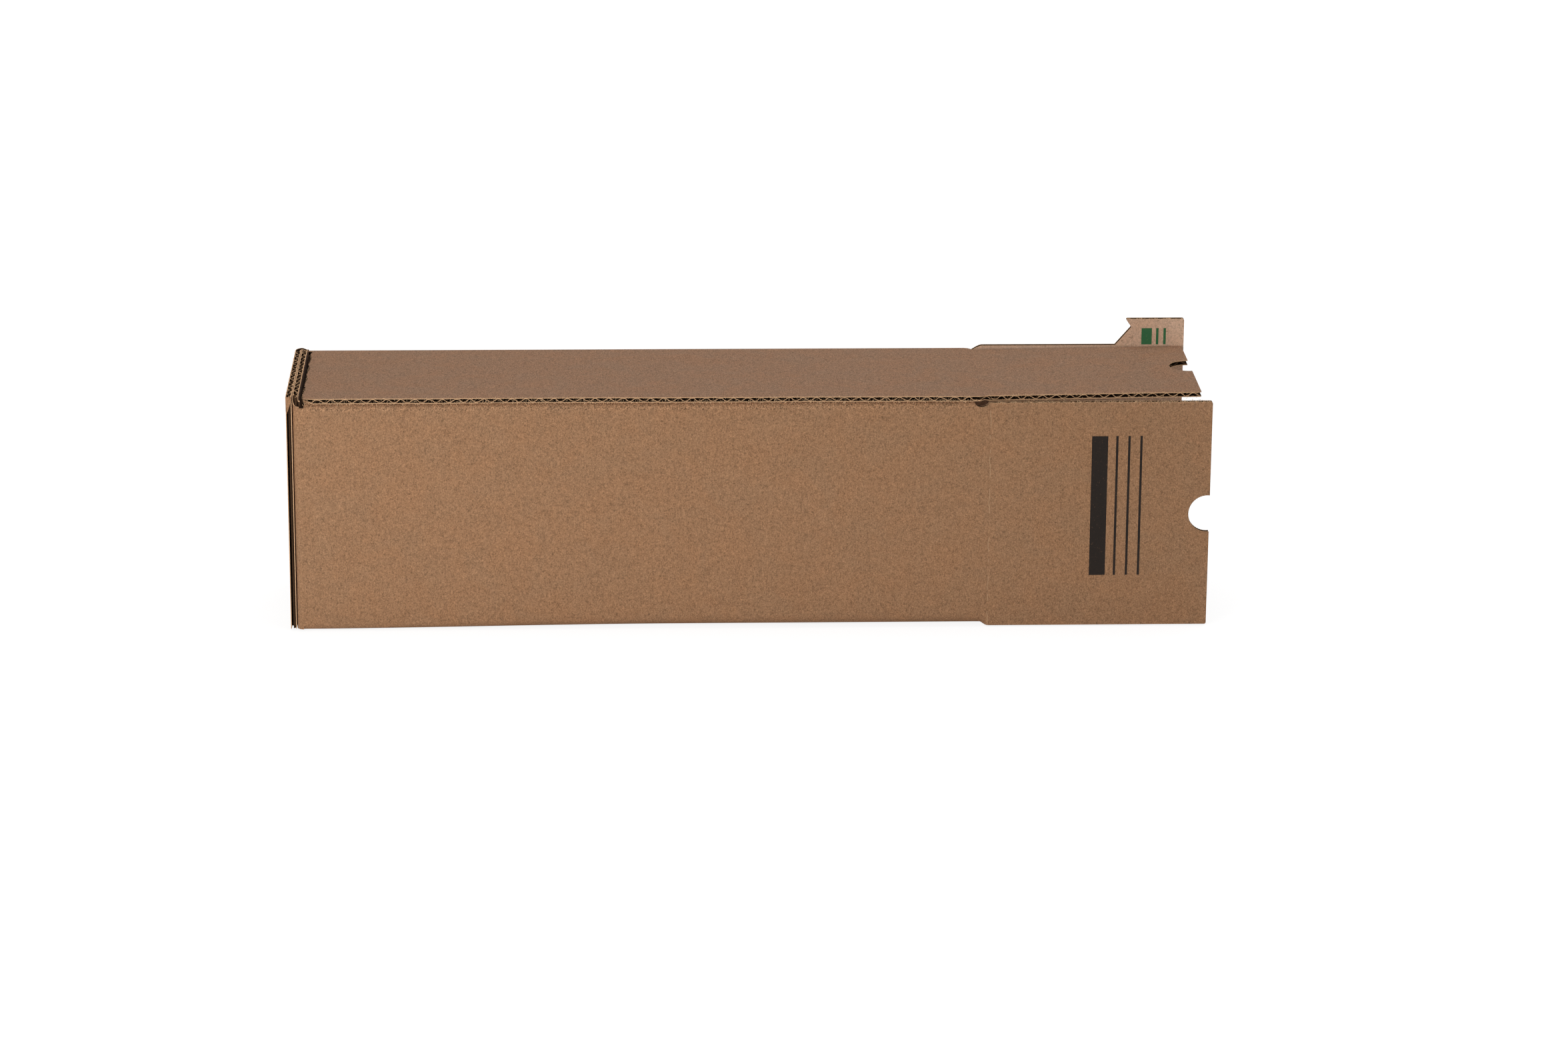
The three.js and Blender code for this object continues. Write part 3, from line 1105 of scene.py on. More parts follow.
@dataclass(frozen=True)
class Board:
    """Sizes of the corrugated board, in millimetres.

    Attributes:
        thickness: over both liners.
        liner: thickness of a liner.
        medium: thickness of the waved paper.
        pitch: from wave to wave.
        crush: how far crests may be out of place.
        steps: points in one wave.
    """

    thickness: float
    liner: float = 0.34
    medium: float = 0.26
    pitch: float = 6.35
    crush: float = 0.55
    steps: int = 14


class Palette:
    """Every finish of the box, built once."""

    FRONT_HEX = "9A7455"
    # Painted shade: the top panel and top flap use this darker, cooler copy of the front's liner colour, for
    # how the light falls on them.
    TOP_SHADE_HEX = "8D6C54"
    EDGE_HEX = "D2A982"
    # Painted shade: the waved paper is coloured dark brown for the shade between its liners.
    MEDIUM_SHADE_HEX = "523C2A"
    # Painted shade: the liners' sides that face the waves are coloured near black for the shade inside the
    # flutes.
    HOLLOW_SHADE_HEX = "3E2C1E"
    CRACKED_HEX = "B3906F"

    def __init__(self, ink: InkBars, stamp: InkBars) -> None:
        """Builds the materials.

        Args:
            ink: the bars on the front flap.
            stamp: the bars on the ear.
        """
        self.front = KraftLiner("kraft_liner_front", self.FRONT_HEX, Grain.ALONG_Z).material()
        self.flap = KraftLiner("kraft_liner_printed_flap", self.FRONT_HEX, Grain.ALONG_Z, ink=ink).material()
        self.top = KraftLiner(
            "kraft_liner_top_painted_shade", self.TOP_SHADE_HEX, Grain.ALONG_Y, clouds=1.6, contrast=1.2
        ).material()
        self.inner = KraftLiner("kraft_liner_inside", "BD9C84", Grain.ALONG_Z).material()
        # Painted light: the ear is the rear flap's inner liner, in a lighter copy of the inner paper for the
        # light it misses under the top flap.
        self.ear = KraftLiner("kraft_liner_ear_painted_light", "D2AE93", Grain.ALONG_Z, contrast=0.6, ink=stamp).material()
        self.end = KraftLiner("kraft_liner_end", self.FRONT_HEX, Grain.ALONG_Z, WaveAxis.Y).material()
        self.fold = KraftLiner("kraft_liner_strained_fold", "9C7657", Grain.ALONG_Z, contrast=1.9).material()
        # Painted shade: a dark copy of the kraft for the inner end layer's upper inner face, in the slit's
        # shadow beside the top.
        self.shaded = KraftLiner("kraft_liner_slit_painted_shade", "5E4636", Grain.ALONG_Z).material()
        self.edge = CutPaper("liner_cut_edge", self.EDGE_HEX).material()
        self.medium = CutPaper("fluting_paper_painted_shade", self.MEDIUM_SHADE_HEX, 0.5).material()
        self.hollow_shade = CutPaper("liner_flute_side_painted_shade", self.HOLLOW_SHADE_HEX, 0.4).material()
        self.cracked = CutPaper("liner_cracked_crease", self.CRACKED_HEX, 0.4).material()
        self.fibre = CutPaper("torn_paper_fibre", "D8B48E", 0.2).material()


PaintRule = Callable[[np.ndarray, np.ndarray, np.ndarray], np.ndarray]
Reach = float | np.ndarray


def paint(piece: Object, materials: Sequence[Material], rule: PaintRule) -> None:
    """Gives each face a material by a rule.

    Args:
        piece: the mesh.
        materials: its slots.
        rule: takes face centres in millimetres, normals and side marks, and
            returns slot numbers.
    """
    mesh = piece.data
    mesh.materials.clear()
    for material in materials:
        mesh.materials.append(material)
    count = len(mesh.polygons)
    centres = np.empty(count * 3)
    normals = np.empty(count * 3)
    marks = np.zeros(count, np.int32)
    mesh.polygons.foreach_get("center", centres)
    mesh.polygons.foreach_get("normal", normals)
    if SIDE_MARK in mesh.attributes:
        mesh.attributes[SIDE_MARK].data.foreach_get("value", marks)
        mesh.attributes.remove(mesh.attributes[SIDE_MARK])
    slots = rule(centres.reshape(-1, 3) / MM, normals.reshape(-1, 3), marks).astype(np.int32)
    mesh.polygons.foreach_set("material_index", slots)
    mesh.update()


def by_side(first: int, second: int, edge: int) -> PaintRule:
    """A rule that gives each side of a sheet its slot, and all edges one slot.

    Args:
        first: slot of the first side.
        second: slot of the second side.
        edge: slot of the rims and cuts.

    Returns:
        The rule.
    """
    return lambda centres, normals, marks: np.select(
        [marks == Side.FIRST.value, marks == Side.SECOND.value], [first, second], edge
    )


def smoothed(piece: Object, angle: float = 35.0) -> None:
    """Smooth shading, with sharp edges kept.

    Args:
        piece: the mesh.
        angle: edges turned more than this many degrees stay sharp.
    """
    mesh = piece.data
    mesh.polygons.foreach_set("use_smooth", [True] * len(mesh.polygons))
    mesh.set_sharp_from_angle(angle=math.radians(angle))


@dataclass(frozen=True)
class Settling:
    """How the hand-folded board departs from flat, in millimetres.

    Attributes:
        left: the top's raw end.
        front: the front face.
        depth: from the front face to the rear.
        top: the top's height.
        hinge: the top flap's crease.
        front_lift: how much higher the top lies at the front.
        rear_lift: how much higher it lies at the rear.
        flap_lift: how much the top flap's free edge stands up.
        edge_droop: rise of the flap's front edge; below nought, it hangs.
        flap_length: from the crease to that edge.
        crushed_length: length of the crushed corner.
        crushed_depth: its depth.
        crushed_share: how much of the board's thickness the crushing takes.
        edge_wave: slow wave of the top's raw edge.
    """

    left: float
    front: float
    depth: float
    top: float
    hinge: float
    front_lift: float = -0.19
    rear_lift: float = 1.95
    flap_lift: float = 1.25
    edge_droop: float = -0.6
    flap_length: float = 97.0
    crushed_length: float = 5.5
    crushed_depth: float = 12.0
    crushed_share: float = 0.86
    edge_wave: float = 0.12

    def settle(self, points: np.ndarray) -> np.ndarray:
        """Slopes the top, and lets the long panels bow a little.

        Args:
            points: places in millimetres.

        Returns:
            The moved places.
        """
        moved = points.copy()
        x, y, z = points.T
        share = (y - self.front) / self.depth
        upper = ease(z, 45, 108)
        lift = self.front_lift + (self.rear_lift - self.front_lift) * share
        moved[:, 2] += upper * lift
        moved[:, 2] += upper * self.edge_wave * ripple(x, 2.0) * (1 - np.clip(share, 0, 1))
        return moved

    def settle_flap(self, points: np.ndarray) -> np.ndarray:
        """The top flap stands up a little more towards its free edge.

        Args:
            points: places in millimetres.

        Returns:
            The moved places.
        """
        moved = self.settle(points)
        x, y, _ = points.T
        run = np.clip(x - self.hinge, 0, None) / self.flap_length
        beside = 1 - np.clip((y - self.front) / self.depth, 0, 1)
        moved[:, 2] += self.flap_lift * run
        moved[:, 2] += self.edge_droop * beside * ease(x, self.hinge - 3, self.hinge + 4)
        return moved

    def crush_corner(self, points: np.ndarray, underside: float) -> np.ndarray:
        """Crushes the top's front left corner.

        Args:
            points: places in millimetres.
            underside: height of the top board's underside.

        Returns:
            The moved places.
        """
        moved = points.copy()
        x, y, z = points.T
        in_top = z > underside - 0.05
        near_edge = 1 - ease(y, self.front, self.front + self.crushed_depth)
        near_end = 1 - ease(x, self.left, self.left + self.crushed_length)
        squeeze = 1 - self.crushed_share * near_edge * near_end
        moved[:, 2] = np.where(in_top, self.top - (self.top - z) * squeeze, z)
        return moved


class BoxBody:
    """The wrapped panels, the glue flap and the two layers of the closed end."""

    TOP_FOLD = 3.0
    REAR_TOP_FOLD = 1.8
    REAR_LOW_FOLD = 4.0
    LOW_FOLD_RISE = (2.9, 5.8)
    LOW_FOLD_REACH = (2.9, 9.3)
    LOW_FOLD_LENGTH = 175.0
    TOP_BOARD = 2.4
    FLAP_TOP_RISE = 1.1
    REAR_FLAP_RISE = -1.2
    TOP_EDGE_INSET = 0.4
    GLUE_WIDTH = 36.0
    TOP_START = 4.3
    BOTTOM_START = 3.1
    WAVE_LENGTH = 17.0
    WAVE_DEPTH = 0.9
    CORNER_NOTCH = 5.6
    CORNER_DROP = 4.5
    CORNER_SAG = 4.7
    CORNER_SAG_LENGTH = 5.5
    END_FOLD = 3.1
    REAR_END_FOLD = 4.6
    END_GAP = 0.3
    END_TUCK = 0.9
    GLUE_STOP = 4.6
    THROAT_DEPTH = 14.0
    CREASE_HALF = 2.9
    REAR_CREASE_HALF = 2.2
    FRONT_CREASE_BACK = 4.2
    RELIEF_LENGTH = 6.7
    RELIEF_DEPTH = 2.2
    RELIEF_END = 0.8
    CLEARANCE = 0.02
    CORNER_HEIGHT = 12.0
    END_FOOT = 0.5
    FOLD_ROWS = 9
    TOP_ROWS = 24
    REAR_ROWS = 14
    BOTTOM_ROWS = 10
    FRONT_ROWS = 20
    GLUE_ROWS = 6
    END_ROWS = 24
    END_COLUMNS = 26
    COLUMN_STEP = 2.5

    def __init__(self, board: Board, palette: Palette, medium: FlutedMedium, fibres: TornFibres) -> None:
        """Reads the body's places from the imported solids.

        Args:
            board: the board's sizes.
            palette: the finishes.
            medium: makes waved paper.
            fibres: makes loose fibres.
        """
        self.board = board
        self.palette = palette
        self.medium = medium
        self.fibres = fibres
        low, high = cad_box_mm("box_body")
        self.fold_x = low[0] + board.thickness + self.END_GAP
        self.front = low[1]
        self.rear = high[1]
        self.top = joint_place_mm("top_flap_crease")[2]
        self.under = self.top - board.thickness
        self.rise = high[2]
        self.front_crease = joint_place_mm("front_flap_crease")[0]
        self.top_crease = joint_place_mm("top_flap_crease")[0]
        self.rear_crease = joint_place_mm("rear_flap_crease")[0]
        self.flap_top = cad_box_mm("front_flap")[1][2] + self.FLAP_TOP_RISE
        self.settling = Settling(
            self.fold_x + self.TOP_START, self.front, self.rear - self.front, self.top, self.top_crease
        )
        self.top_board = replace(board, thickness=self.TOP_BOARD)

    def section(self, x: np.ndarray) -> np.ndarray:
        """Outer face of the wrapped board.

        Args:
            x: positions along the box.

        Returns:
            rows x positions x 2 points (y, z): from the top's raw front edge over
            the rear and under the bottom to the glue flap's edge.
        """
        blend = ease(x, self.fold_x, self.fold_x + self.LOW_FOLD_LENGTH)
        rise = self.LOW_FOLD_RISE[0] + (self.LOW_FOLD_RISE[1] - self.LOW_FOLD_RISE[0]) * blend
        reach = self.LOW_FOLD_REACH[0] + (self.LOW_FOLD_REACH[1] - self.LOW_FOLD_REACH[0]) * blend
        under = self.under
        rows: list[np.ndarray] = []

        def line(start: tuple[float, Reach], end: tuple[float, Reach], steps: int) -> None:
            """Adds rows along a straight stretch.

            Args:
                start: its first y and z.
                end: its last y and z, which the next stretch adds.
                steps: number of rows.
            """
            for share in np.linspace(0, 1, steps, endpoint=False):
                y = start[0] + (end[0] - start[0]) * share + 0 * x
                z = start[1] + (end[1] - start[1]) * share + 0 * x
                rows.append(np.stack([y, z], -1))

        def turn(
            centre: tuple[Reach, Reach], radii: tuple[Reach, Reach], first: float, last: float
        ) -> None:
            """Adds rows round a fold.

            Args:
                centre: y and z of its middle.
                radii: across and upwards.
                first: its first angle in degrees.
                last: its last angle, which the next stretch adds.
            """
            for share in np.linspace(0, 1, self.FOLD_ROWS, endpoint=False):
                angle = math.radians(first + (last - first) * share)
                y = centre[0] + radii[0] * math.cos(angle) + 0 * x
                z = centre[1] + radii[1] * math.sin(angle) + 0 * x
                rows.append(np.stack([y, z], -1))

        high, rear, front = self.top, self.rear, self.front
        r1, r2, r3 = self.REAR_TOP_FOLD, self.REAR_LOW_FOLD, self.TOP_FOLD
        line((front + self.TOP_EDGE_INSET, high), (rear - r1, high), self.TOP_ROWS)
        turn((rear - r1, high - r1), (r1, r1), 90, 0)
        line((rear, high - r1), (rear, r2), self.REAR_ROWS)
        turn((rear - r2, r2), (r2, r2), 0, -90)
        line((rear - r2, 0), (front + reach, 0), self.BOTTOM_ROWS)
        turn((front + reach, rise), (reach, rise), -90, -180)
        line((front, rise), (front, under - r3), self.FRONT_ROWS)
        turn((front + r3, under - r3), (r3, r3), 180, 90)
        line((front + r3, under), (front + self.GLUE_WIDTH, under), self.GLUE_ROWS)
        rows.append(np.stack([front + self.GLUE_WIDTH + 0 * x, under + 0 * x], -1))
        return np.array(rows)

    def columns(self) -> np.ndarray:
        """Positions along the box, closer together near both ends.

        Returns:
            Each column of points, in millimetres.
        """
        start = self.fold_x + self.BOTTOM_START
        end = self.front_crease
        near = 12
        fine = np.arange(start, start + near, 0.6)
        coarse = np.arange(start + near, end - near, self.COLUMN_STEP)
        return np.concatenate([fine, coarse, np.arange(end - near, end, 1.0), [end]])

    def layer(self, name: str, low: float, high: float) -> Object:
        """One paper of the wrap.

        Args:
            name: the object's name.
            low: depth of its outer side under the outer face.
            high: depth of its inner side.

        Returns:
            The closed sheet.
        """
        x = self.columns()
        path = self.section(x)
        tangent = np.gradient(path, axis=0)
        tangent /= np.linalg.norm(tangent, axis=-1, keepdims=True)
        inward = np.stack([tangent[..., 1], -tangent[..., 0]], -1)

        beside_fold = ease(path[..., 0], self.rear - 14, self.rear - 4)
        thinner = (1 - self.TOP_BOARD / self.board.thickness) * (1 - beside_fold)
        thinner *= np.arange(len(path))[:, None] < self.TOP_ROWS

        def grid(depth: float) -> np.ndarray:
            """Points of one side.

            Args:
                depth: under the outer face.

            Returns:
                rows x positions x 3 places.
            """
            flat = path + inward * (depth * (1 - thinner))[..., None]
            across = np.broadcast_to(x, flat.shape[:2])
            return np.concatenate([across[..., None], flat], -1)

        return closed_sheet(name, grid(low), grid(high))

    def scallop(self) -> Object:
        """Cutter for the top's raw left end, with cusps towards the closed end.

        Returns:
            The solid.
        """
        left = self.fold_x + self.TOP_START
        away = self.fold_x - 20
        middle = (self.front + self.rear) / 2
        last = self.rear - self.REAR_TOP_FOLD - 0.6
        waves = math.ceil((self.rear - self.front + 4) / self.WAVE_LENGTH)
        first = middle - waves * self.WAVE_LENGTH / 2
        steps = 10
        edge = []
        for i in range(waves * steps + 1):
            share = (i % steps) / steps
            bulge = math.sin(math.pi * share) ** 0.8 * self.WAVE_DEPTH
            rough = 0.12 * math.sin(i * 2.3) + 0.08 * math.sin(i * 5.1)
            edge.append((left + bulge + rough, first + i / steps * self.WAVE_LENGTH))
        low = self.top - self.CORNER_DROP
        points = [(x, y, low) for x, y in edge if y < last]
        points += [(away, points[-1][1], low), (away, edge[0][1], low)]
        return prism("scallop", points, (0, 0, 20))

    def relief(self) -> Object:
        """Cutter for the half-moon at the end of the front's top fold.

        Returns:
            The solid.
        """
        middle = self.front_crease - self.RELIEF_END - self.RELIEF_LENGTH / 2
        half = self.RELIEF_LENGTH / 2
        points = []
        for step in range(17):
            angle = math.pi + math.pi * step / 16
            points.append(
                (middle + half * math.cos(angle), self.front - 3,
                 self.flap_top + 0.3 + self.RELIEF_DEPTH * math.sin(angle))
            )
        ceiling = self.under - self.CLEARANCE
        points += [(middle + half, self.front - 3, ceiling), (middle - half, self.front - 3, ceiling)]
        return prism("relief", points, (0, 3 + self.board.thickness + 3, 0))

    def open_end(self) -> list[Object]:
        """Cutters that end each panel where its crease starts.

        Returns:
            The solids.
        """
        beyond = self.front_crease + 5
        front, rear, top = self.front, self.rear, self.top
        thick, under = self.board.thickness, self.under
        top_end = self.top_crease - self.CREASE_HALF
        return [
            block("top_end", (top_end, front - 3, under - self.CLEARANCE), (beyond, rear + 3, top + 5)),
            block("rear_end", (self.rear_crease - self.REAR_CREASE_HALF, rear - thick - 0.3, -3),
                  (beyond, rear + 3, under)),
            block("bottom_end", (self.top_crease - 0.15, front + thick + 0.1, -3),
                  (beyond, rear - thick - 0.2, thick + 4)),
            block("front_end", (self.front_crease - self.FRONT_CREASE_BACK, front - 3, -3),
                  (beyond, front + thick + 0.15, under)),
            block("glue_end", (self.top_crease - self.GLUE_STOP, front + thick + 0.15, top - 3 * thick),
                  (beyond, front + self.GLUE_WIDTH + 3, under - 0.01)),
            block("front_top_end", (self.front_crease - self.RELIEF_END - self.RELIEF_LENGTH, front - 3,
                                    self.flap_top), (beyond, front + thick + 4, under - self.CLEARANCE)),
        ]

    def cutters(self) -> list[Object]:
        """Everything that is cut off the plain wrap.

        Returns:
            The solids.
        """
        low = self.top - self.CORNER_DROP
        ceiling = self.under - self.CLEARANCE
        corner = [
            (-5.0, low), (2.6, low), (4.0, low + 0.2), (4.9, low + 0.6), (5.4, low + 1.1),
            (self.CORNER_NOTCH, ceiling), (-5.0, ceiling),
        ]
        notch = prism(
            "corner", [(self.fold_x + x, self.front - 3, z) for x, z in corner], (0, self.TOP_FOLD + 6, 0)
        )
        return [self.scallop(), notch, self.relief(), *self.open_end()]

    def wrap(self) -> Object:
        """Both liners of the wrapped panels.

        Returns:
            The joined liners.
        """
        board = self.board
        parts = []
        for name, low, high in (
            ("outer_liner", 0.0, board.liner),
            ("inner_liner", board.thickness - board.liner, board.thickness),
        ):
            piece = self.layer(name, low, high)
            for cutter in self.cutters():
                trimmed(piece, cutter, keep_inside=False)
            parts.append(piece)
        outer, inner = parts
        palette = self.palette

        def outer_rule(centres: np.ndarray, normals: np.ndarray, marks: np.ndarray) -> np.ndarray:
            """Slots of the outer liner: front, top in painted shade, edge, flute side in painted shade and
            strained fold.

            Args:
                centres: the faces' centres in millimetres.
                normals: their normals.
                marks: their side marks.

            Returns:
                The slot numbers.
            """
            # Painted shade: faces above the top's underside take the top's darker copy of the liner; the
            # rest take the front's.
            shown = np.where(centres[:, 2] > self.under + 0.4, 1, 0)
            on_fold = (shown == 0) & (centres[:, 2] > self.under - self.TOP_FOLD)
            shown = np.where(on_fold & (centres[:, 1] < self.front + self.TOP_FOLD), 4, shown)
            return np.select([marks == Side.FIRST.value, marks == Side.SECOND.value], [shown, 3], 2)

        finishes = [palette.front, palette.top, palette.edge, palette.hollow_shade, palette.fold]
        paint(outer, finishes, outer_rule)
        # The inner liner's side that faces the waves takes the painted-shade flute side.
        paint(inner, [palette.hollow_shade, palette.inner, palette.edge], by_side(0, 1, 2))
        made = joined("wrapped_panels", [outer, inner])
        moved_points(made, lambda points: self.settling.crush_corner(points, self.under))
        return made

    def fluting(self) -> list[Object]:
        """The waved paper in the top, front and rear panels.

        Returns:
            One object for each panel.
        """
        board = self.board
        half = board.thickness / 2
        start = self.fold_x + self.TOP_START + 0.5
        palette = self.palette
        made = []
        top_low = self.front + self.TOP_EDGE_INSET + 0.02
        top_high = self.rear - self.REAR_TOP_FOLD
        end = self.top_crease - self.CREASE_HALF - 0.3
        place = Vector((start, (top_low + top_high) / 2, self.top - self.TOP_BOARD / 2))
        top = self.medium.make(
            "top_fluting", self.top_board, end - start, top_high - top_low,
            Matrix.Translation(place * MM), palette, start=1.2, seed=3.0,
        )
        trimmed(top, self.scallop(), keep_inside=False)
        moved_points(top, lambda points: self.settling.crush_corner(points, self.under))
        made.append(top)
        upright = Matrix.Rotation(math.radians(90), 4, "X")
        for name, y, low, high, x0, x1 in (
            ("front_fluting", self.front + half, self.LOW_FOLD_RISE[1],
             self.under - self.TOP_FOLD, self.fold_x + self.CORNER_NOTCH,
             self.front_crease - self.FRONT_CREASE_BACK - 0.2),
            ("rear_fluting", self.rear - half, self.REAR_LOW_FOLD, self.top - self.REAR_TOP_FOLD,
             self.fold_x + self.CORNER_NOTCH, self.rear_crease - self.REAR_CREASE_HALF - 0.2),
        ):
            made.append(self.medium.make(
                name, board, x1 - x0, high - low,
                Matrix.Translation(Vector((x0, y, (low + high) / 2)) * MM) @ upright, palette, seed=9.0,
            ))
        return made

    def end_layer(
        self,
        name: str,
        plan: list[tuple[float, float]],
        low: float,
        high: float,
        throat: Material | None = None,
    ) -> Object:
        """Both liners of an upright layer.

        Args:
            name: the object's name.
            plan: its outer face seen from above, with the board on the right of
                the direction of travel.
            low: its foot.
            high: its upper edge.
            throat: painted shade for the inner face's upper part, where it lines the slit
            beside the top; the common inner paper if it is left out.

        Returns:
            The joined liners.
        """
        board = self.board
        path = np.array(plan)
        tangent = np.gradient(path, axis=0)
        tangent /= np.linalg.norm(tangent, axis=-1, keepdims=True)
        inward = np.stack([tangent[:, 1], -tangent[:, 0]], -1)
        heights = np.linspace(low, high, self.END_ROWS)
        parts = []
        for depth, other in ((0.0, board.liner), (board.thickness - board.liner, board.thickness)):
            faces = []
            for d in (depth, other):
                flat = path + inward * d
                grid = np.zeros((len(heights), len(path), 3))
                grid[..., 0] = flat[:, 0]
                grid[..., 1] = flat[:, 1]
                grid[..., 2] = heights[:, None]
                faces.append(grid)
            parts.append(closed_sheet(name, faces[0], faces[1]))
        palette = self.palette
        outer, inner = parts
        # The outer liner's side that faces the waves takes the painted-shade flute side.
        paint(outer, [palette.end, palette.hollow_shade, palette.edge], by_side(0, 1, 2))

        def inner_rule(centres: np.ndarray, normals: np.ndarray, marks: np.ndarray) -> np.ndarray:
            """Slots of the inner liner: flute side in painted shade, inner paper, edge and the throat's
            painted shade.

            Args:
                centres: the faces' centres in millimetres.
                normals: their normals.
                marks: their side marks.

            Returns:
                The slot numbers.
            """
            # Painted shade: faces of the inner face near the top, in the slit's shadow, take the throat's
            # painted shade.
            deep = np.where(centres[:, 2] > self.top - self.THROAT_DEPTH, 3, 1)
            return np.select([marks == Side.FIRST.value, marks == Side.SECOND.value], [0, deep], 2)

        paint(inner, [palette.hollow_shade, palette.inner, palette.edge, throat or palette.inner], inner_rule)
        return joined(name, parts)

    def inner_end(self) -> Object:
        """Inner layer of the closed end: it folds back from the front panel.

        Returns:
            Both its liners.
        """
        x0, y0, r = self.fold_x, self.front, self.END_FOLD
        end = self.rear - self.board.thickness - 0.6
        turn = [
            (x0 + r + r * math.cos(math.radians(a)), y0 + r + r * math.sin(math.radians(a)))
            for a in np.linspace(180, 270, 8)
        ]
        plan = [(x0, y) for y in np.linspace(end, y0 + r + 1, self.END_COLUMNS)] + turn
        plan = plan[::-1]
        # The upper inner face gets the painted-shade slit finish.
        piece = self.end_layer("inner_end_layer", plan, self.END_FOOT, self.rise, self.palette.shaded)

        def sag(points: np.ndarray) -> np.ndarray:
            """Lowers the layer's crushed front corner.

            Args:
                points: places in millimetres.

            Returns:
                The moved places.
            """
            moved = points.copy()
            near = 1 - ease(points[:, 1], y0, y0 + self.CORNER_SAG_LENGTH)
            upper = ease(points[:, 2], self.top - self.CORNER_HEIGHT, self.top)
            moved[:, 2] -= self.CORNER_SAG * near * upper
            return moved

        moved_points(piece, sag)
        return piece

    def outer_end(self) -> Object:
        """Outer layer of the closed end: it folds forward from the rear panel.

        Returns:
            Both its liners.
        """
        left = self.fold_x - self.board.thickness - self.END_GAP
        r = self.REAR_END_FOLD
        turn = [
            (left + r + r * math.cos(math.radians(a)), self.rear - r + r * math.sin(math.radians(a)))
            for a in np.linspace(180, 90, 10)
        ]
        straight = np.linspace(self.front + 1.2, self.rear - r - 1, self.END_COLUMNS)
        plan = [(left, y) for y in straight] + turn
        plan += [(x, self.rear) for x in np.linspace(left + r + 0.5, self.fold_x + self.BOTTOM_START, 4)]
        piece = self.end_layer("outer_end_layer", plan, self.END_FOOT, self.rise)

        def tuck(points: np.ndarray) -> np.ndarray:
            """Lowers the upper edge where it turns into the rear panel.

            Args:
                points: places in millimetres.

            Returns:
                The moved places.
            """
            moved = points.copy()
            inside = ease(points[:, 0], self.fold_x - 0.3, self.fold_x + 2.6)
            upper = ease(points[:, 2], self.top - self.CORNER_HEIGHT, self.top)
            moved[:, 2] -= self.END_TUCK * inside * upper
            return moved

        moved_points(piece, tuck)
        return piece

    def end_fluting(self) -> list[Object]:
        """The waved paper in both end layers.

        Returns:
            One object for each layer.
        """
        board = self.board
        half = board.thickness / 2
        low, high = 0.55, self.rise - 0.08
        turn = Matrix.Rotation(math.radians(90), 4, "Z") @ Matrix.Rotation(math.radians(90), 4, "X")
        made = []
        for name, x, y0, y1, seed in (
            ("inner_end_fluting", self.fold_x + half, self.front + 0.6,
             self.rear - board.thickness - 0.8, 5.0),
            ("outer_end_fluting", self.fold_x - self.END_GAP - half, self.front + 1.5,
             self.rear - self.REAR_END_FOLD, 8.0),
        ):
            place = Matrix.Translation(Vector((x, y0, (low + high) / 2)) * MM) @ turn
            made.append(self.medium.make(name, board, y1 - y0, high - low, place, self.palette, seed=seed))
        return made

    def end_facet(self) -> Object:
        """Torn liner that covers the top of the outer end layer's free edge.

        Returns:
            The thin solid.
        """
        left = self.fold_x - self.board.thickness - self.END_GAP
        right = self.fold_x - self.END_GAP
        y = self.front + 0.85
        outline = [
            (left, y, self.rise - 0.1), (right, y, self.rise - 0.4), (right - 0.3, y, self.rise - 2.5),
            (left + 1.1, y, self.rise - 6.5), (left + 0.5, y, self.rise - 8.0), (left, y, self.rise - 7.0),
        ]
        made = prism("outer_end_facet", outline, (0, 0.3, 0))
        paint(made, [self.palette.end], lambda centres, normals, marks: marks)
        return made

    def edge_fibres(self) -> Object:
        """Loose fibres along the raw edges and the front's rough upper fold.

        Returns:
            All of them as one object.
        """
        x = np.arange(self.fold_x + self.CORNER_NOTCH, self.front_crease - 8, 1.5)
        fold = [(float(v), self.front + 2.2 + 0.3 * math.sin(v), self.top - 2.72) for v in x]
        raw = [(float(v), self.front + self.TOP_EDGE_INSET, self.top - 0.15) for v in x]
        low_z = self.top - self.TOP_BOARD + 0.15
        low_raw = [(float(v), self.front + self.TOP_EDGE_INSET, low_z) for v in x]
        left = self.fold_x + self.TOP_START
        y = np.arange(self.front + 2, self.rear - 4, 1.5)
        scallop = [(left + 0.5, float(v), self.top - 0.3) for v in y]
        ends = [
            [(x_end, float(v), self.rise - 0.05) for v in y]
            for x_end in (self.fold_x + 0.2, self.fold_x + 2.5, self.fold_x - 0.5, self.fold_x - 2.8)
        ]
        parts = [
            self.fibres.make(
                name, lines, self.palette.fibre,
                spacing=spacing, length=length, scatter=scatter, seed=seed, thickness=thickness,
            )
            for name, lines, spacing, length, scatter, seed, thickness in (
                ("fold_fibres", [fold], 0.14, 1.6, 0.85, 5, 0.12),
                ("raw_fibres", [raw, low_raw], 0.9, 1.1, 0.2, 8, 0.06),
                ("end_fibres", [scallop, *ends], 1.0, 1.0, 0.2, 12, 0.06),
            )
        ]
        return joined("body_fibres", parts)

    def build(self) -> list[Object]:
        """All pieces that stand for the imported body.

        Returns:
            The pieces.
        """
        pieces = [
            self.wrap(), *self.fluting(), self.inner_end(), self.outer_end(), *self.end_fluting(),
            self.end_facet(), self.edge_fibres(),
        ]
        for piece in pieces:
            moved_points(piece, self.settling.settle)
            smoothed(piece)
            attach(piece, "body")
            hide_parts("box_body")
        return pieces


class Facing(Enum):
    """Which way a flap's outer face looks."""

    FRONT = "front"
    TOP = "top"
    REAR = "rear"


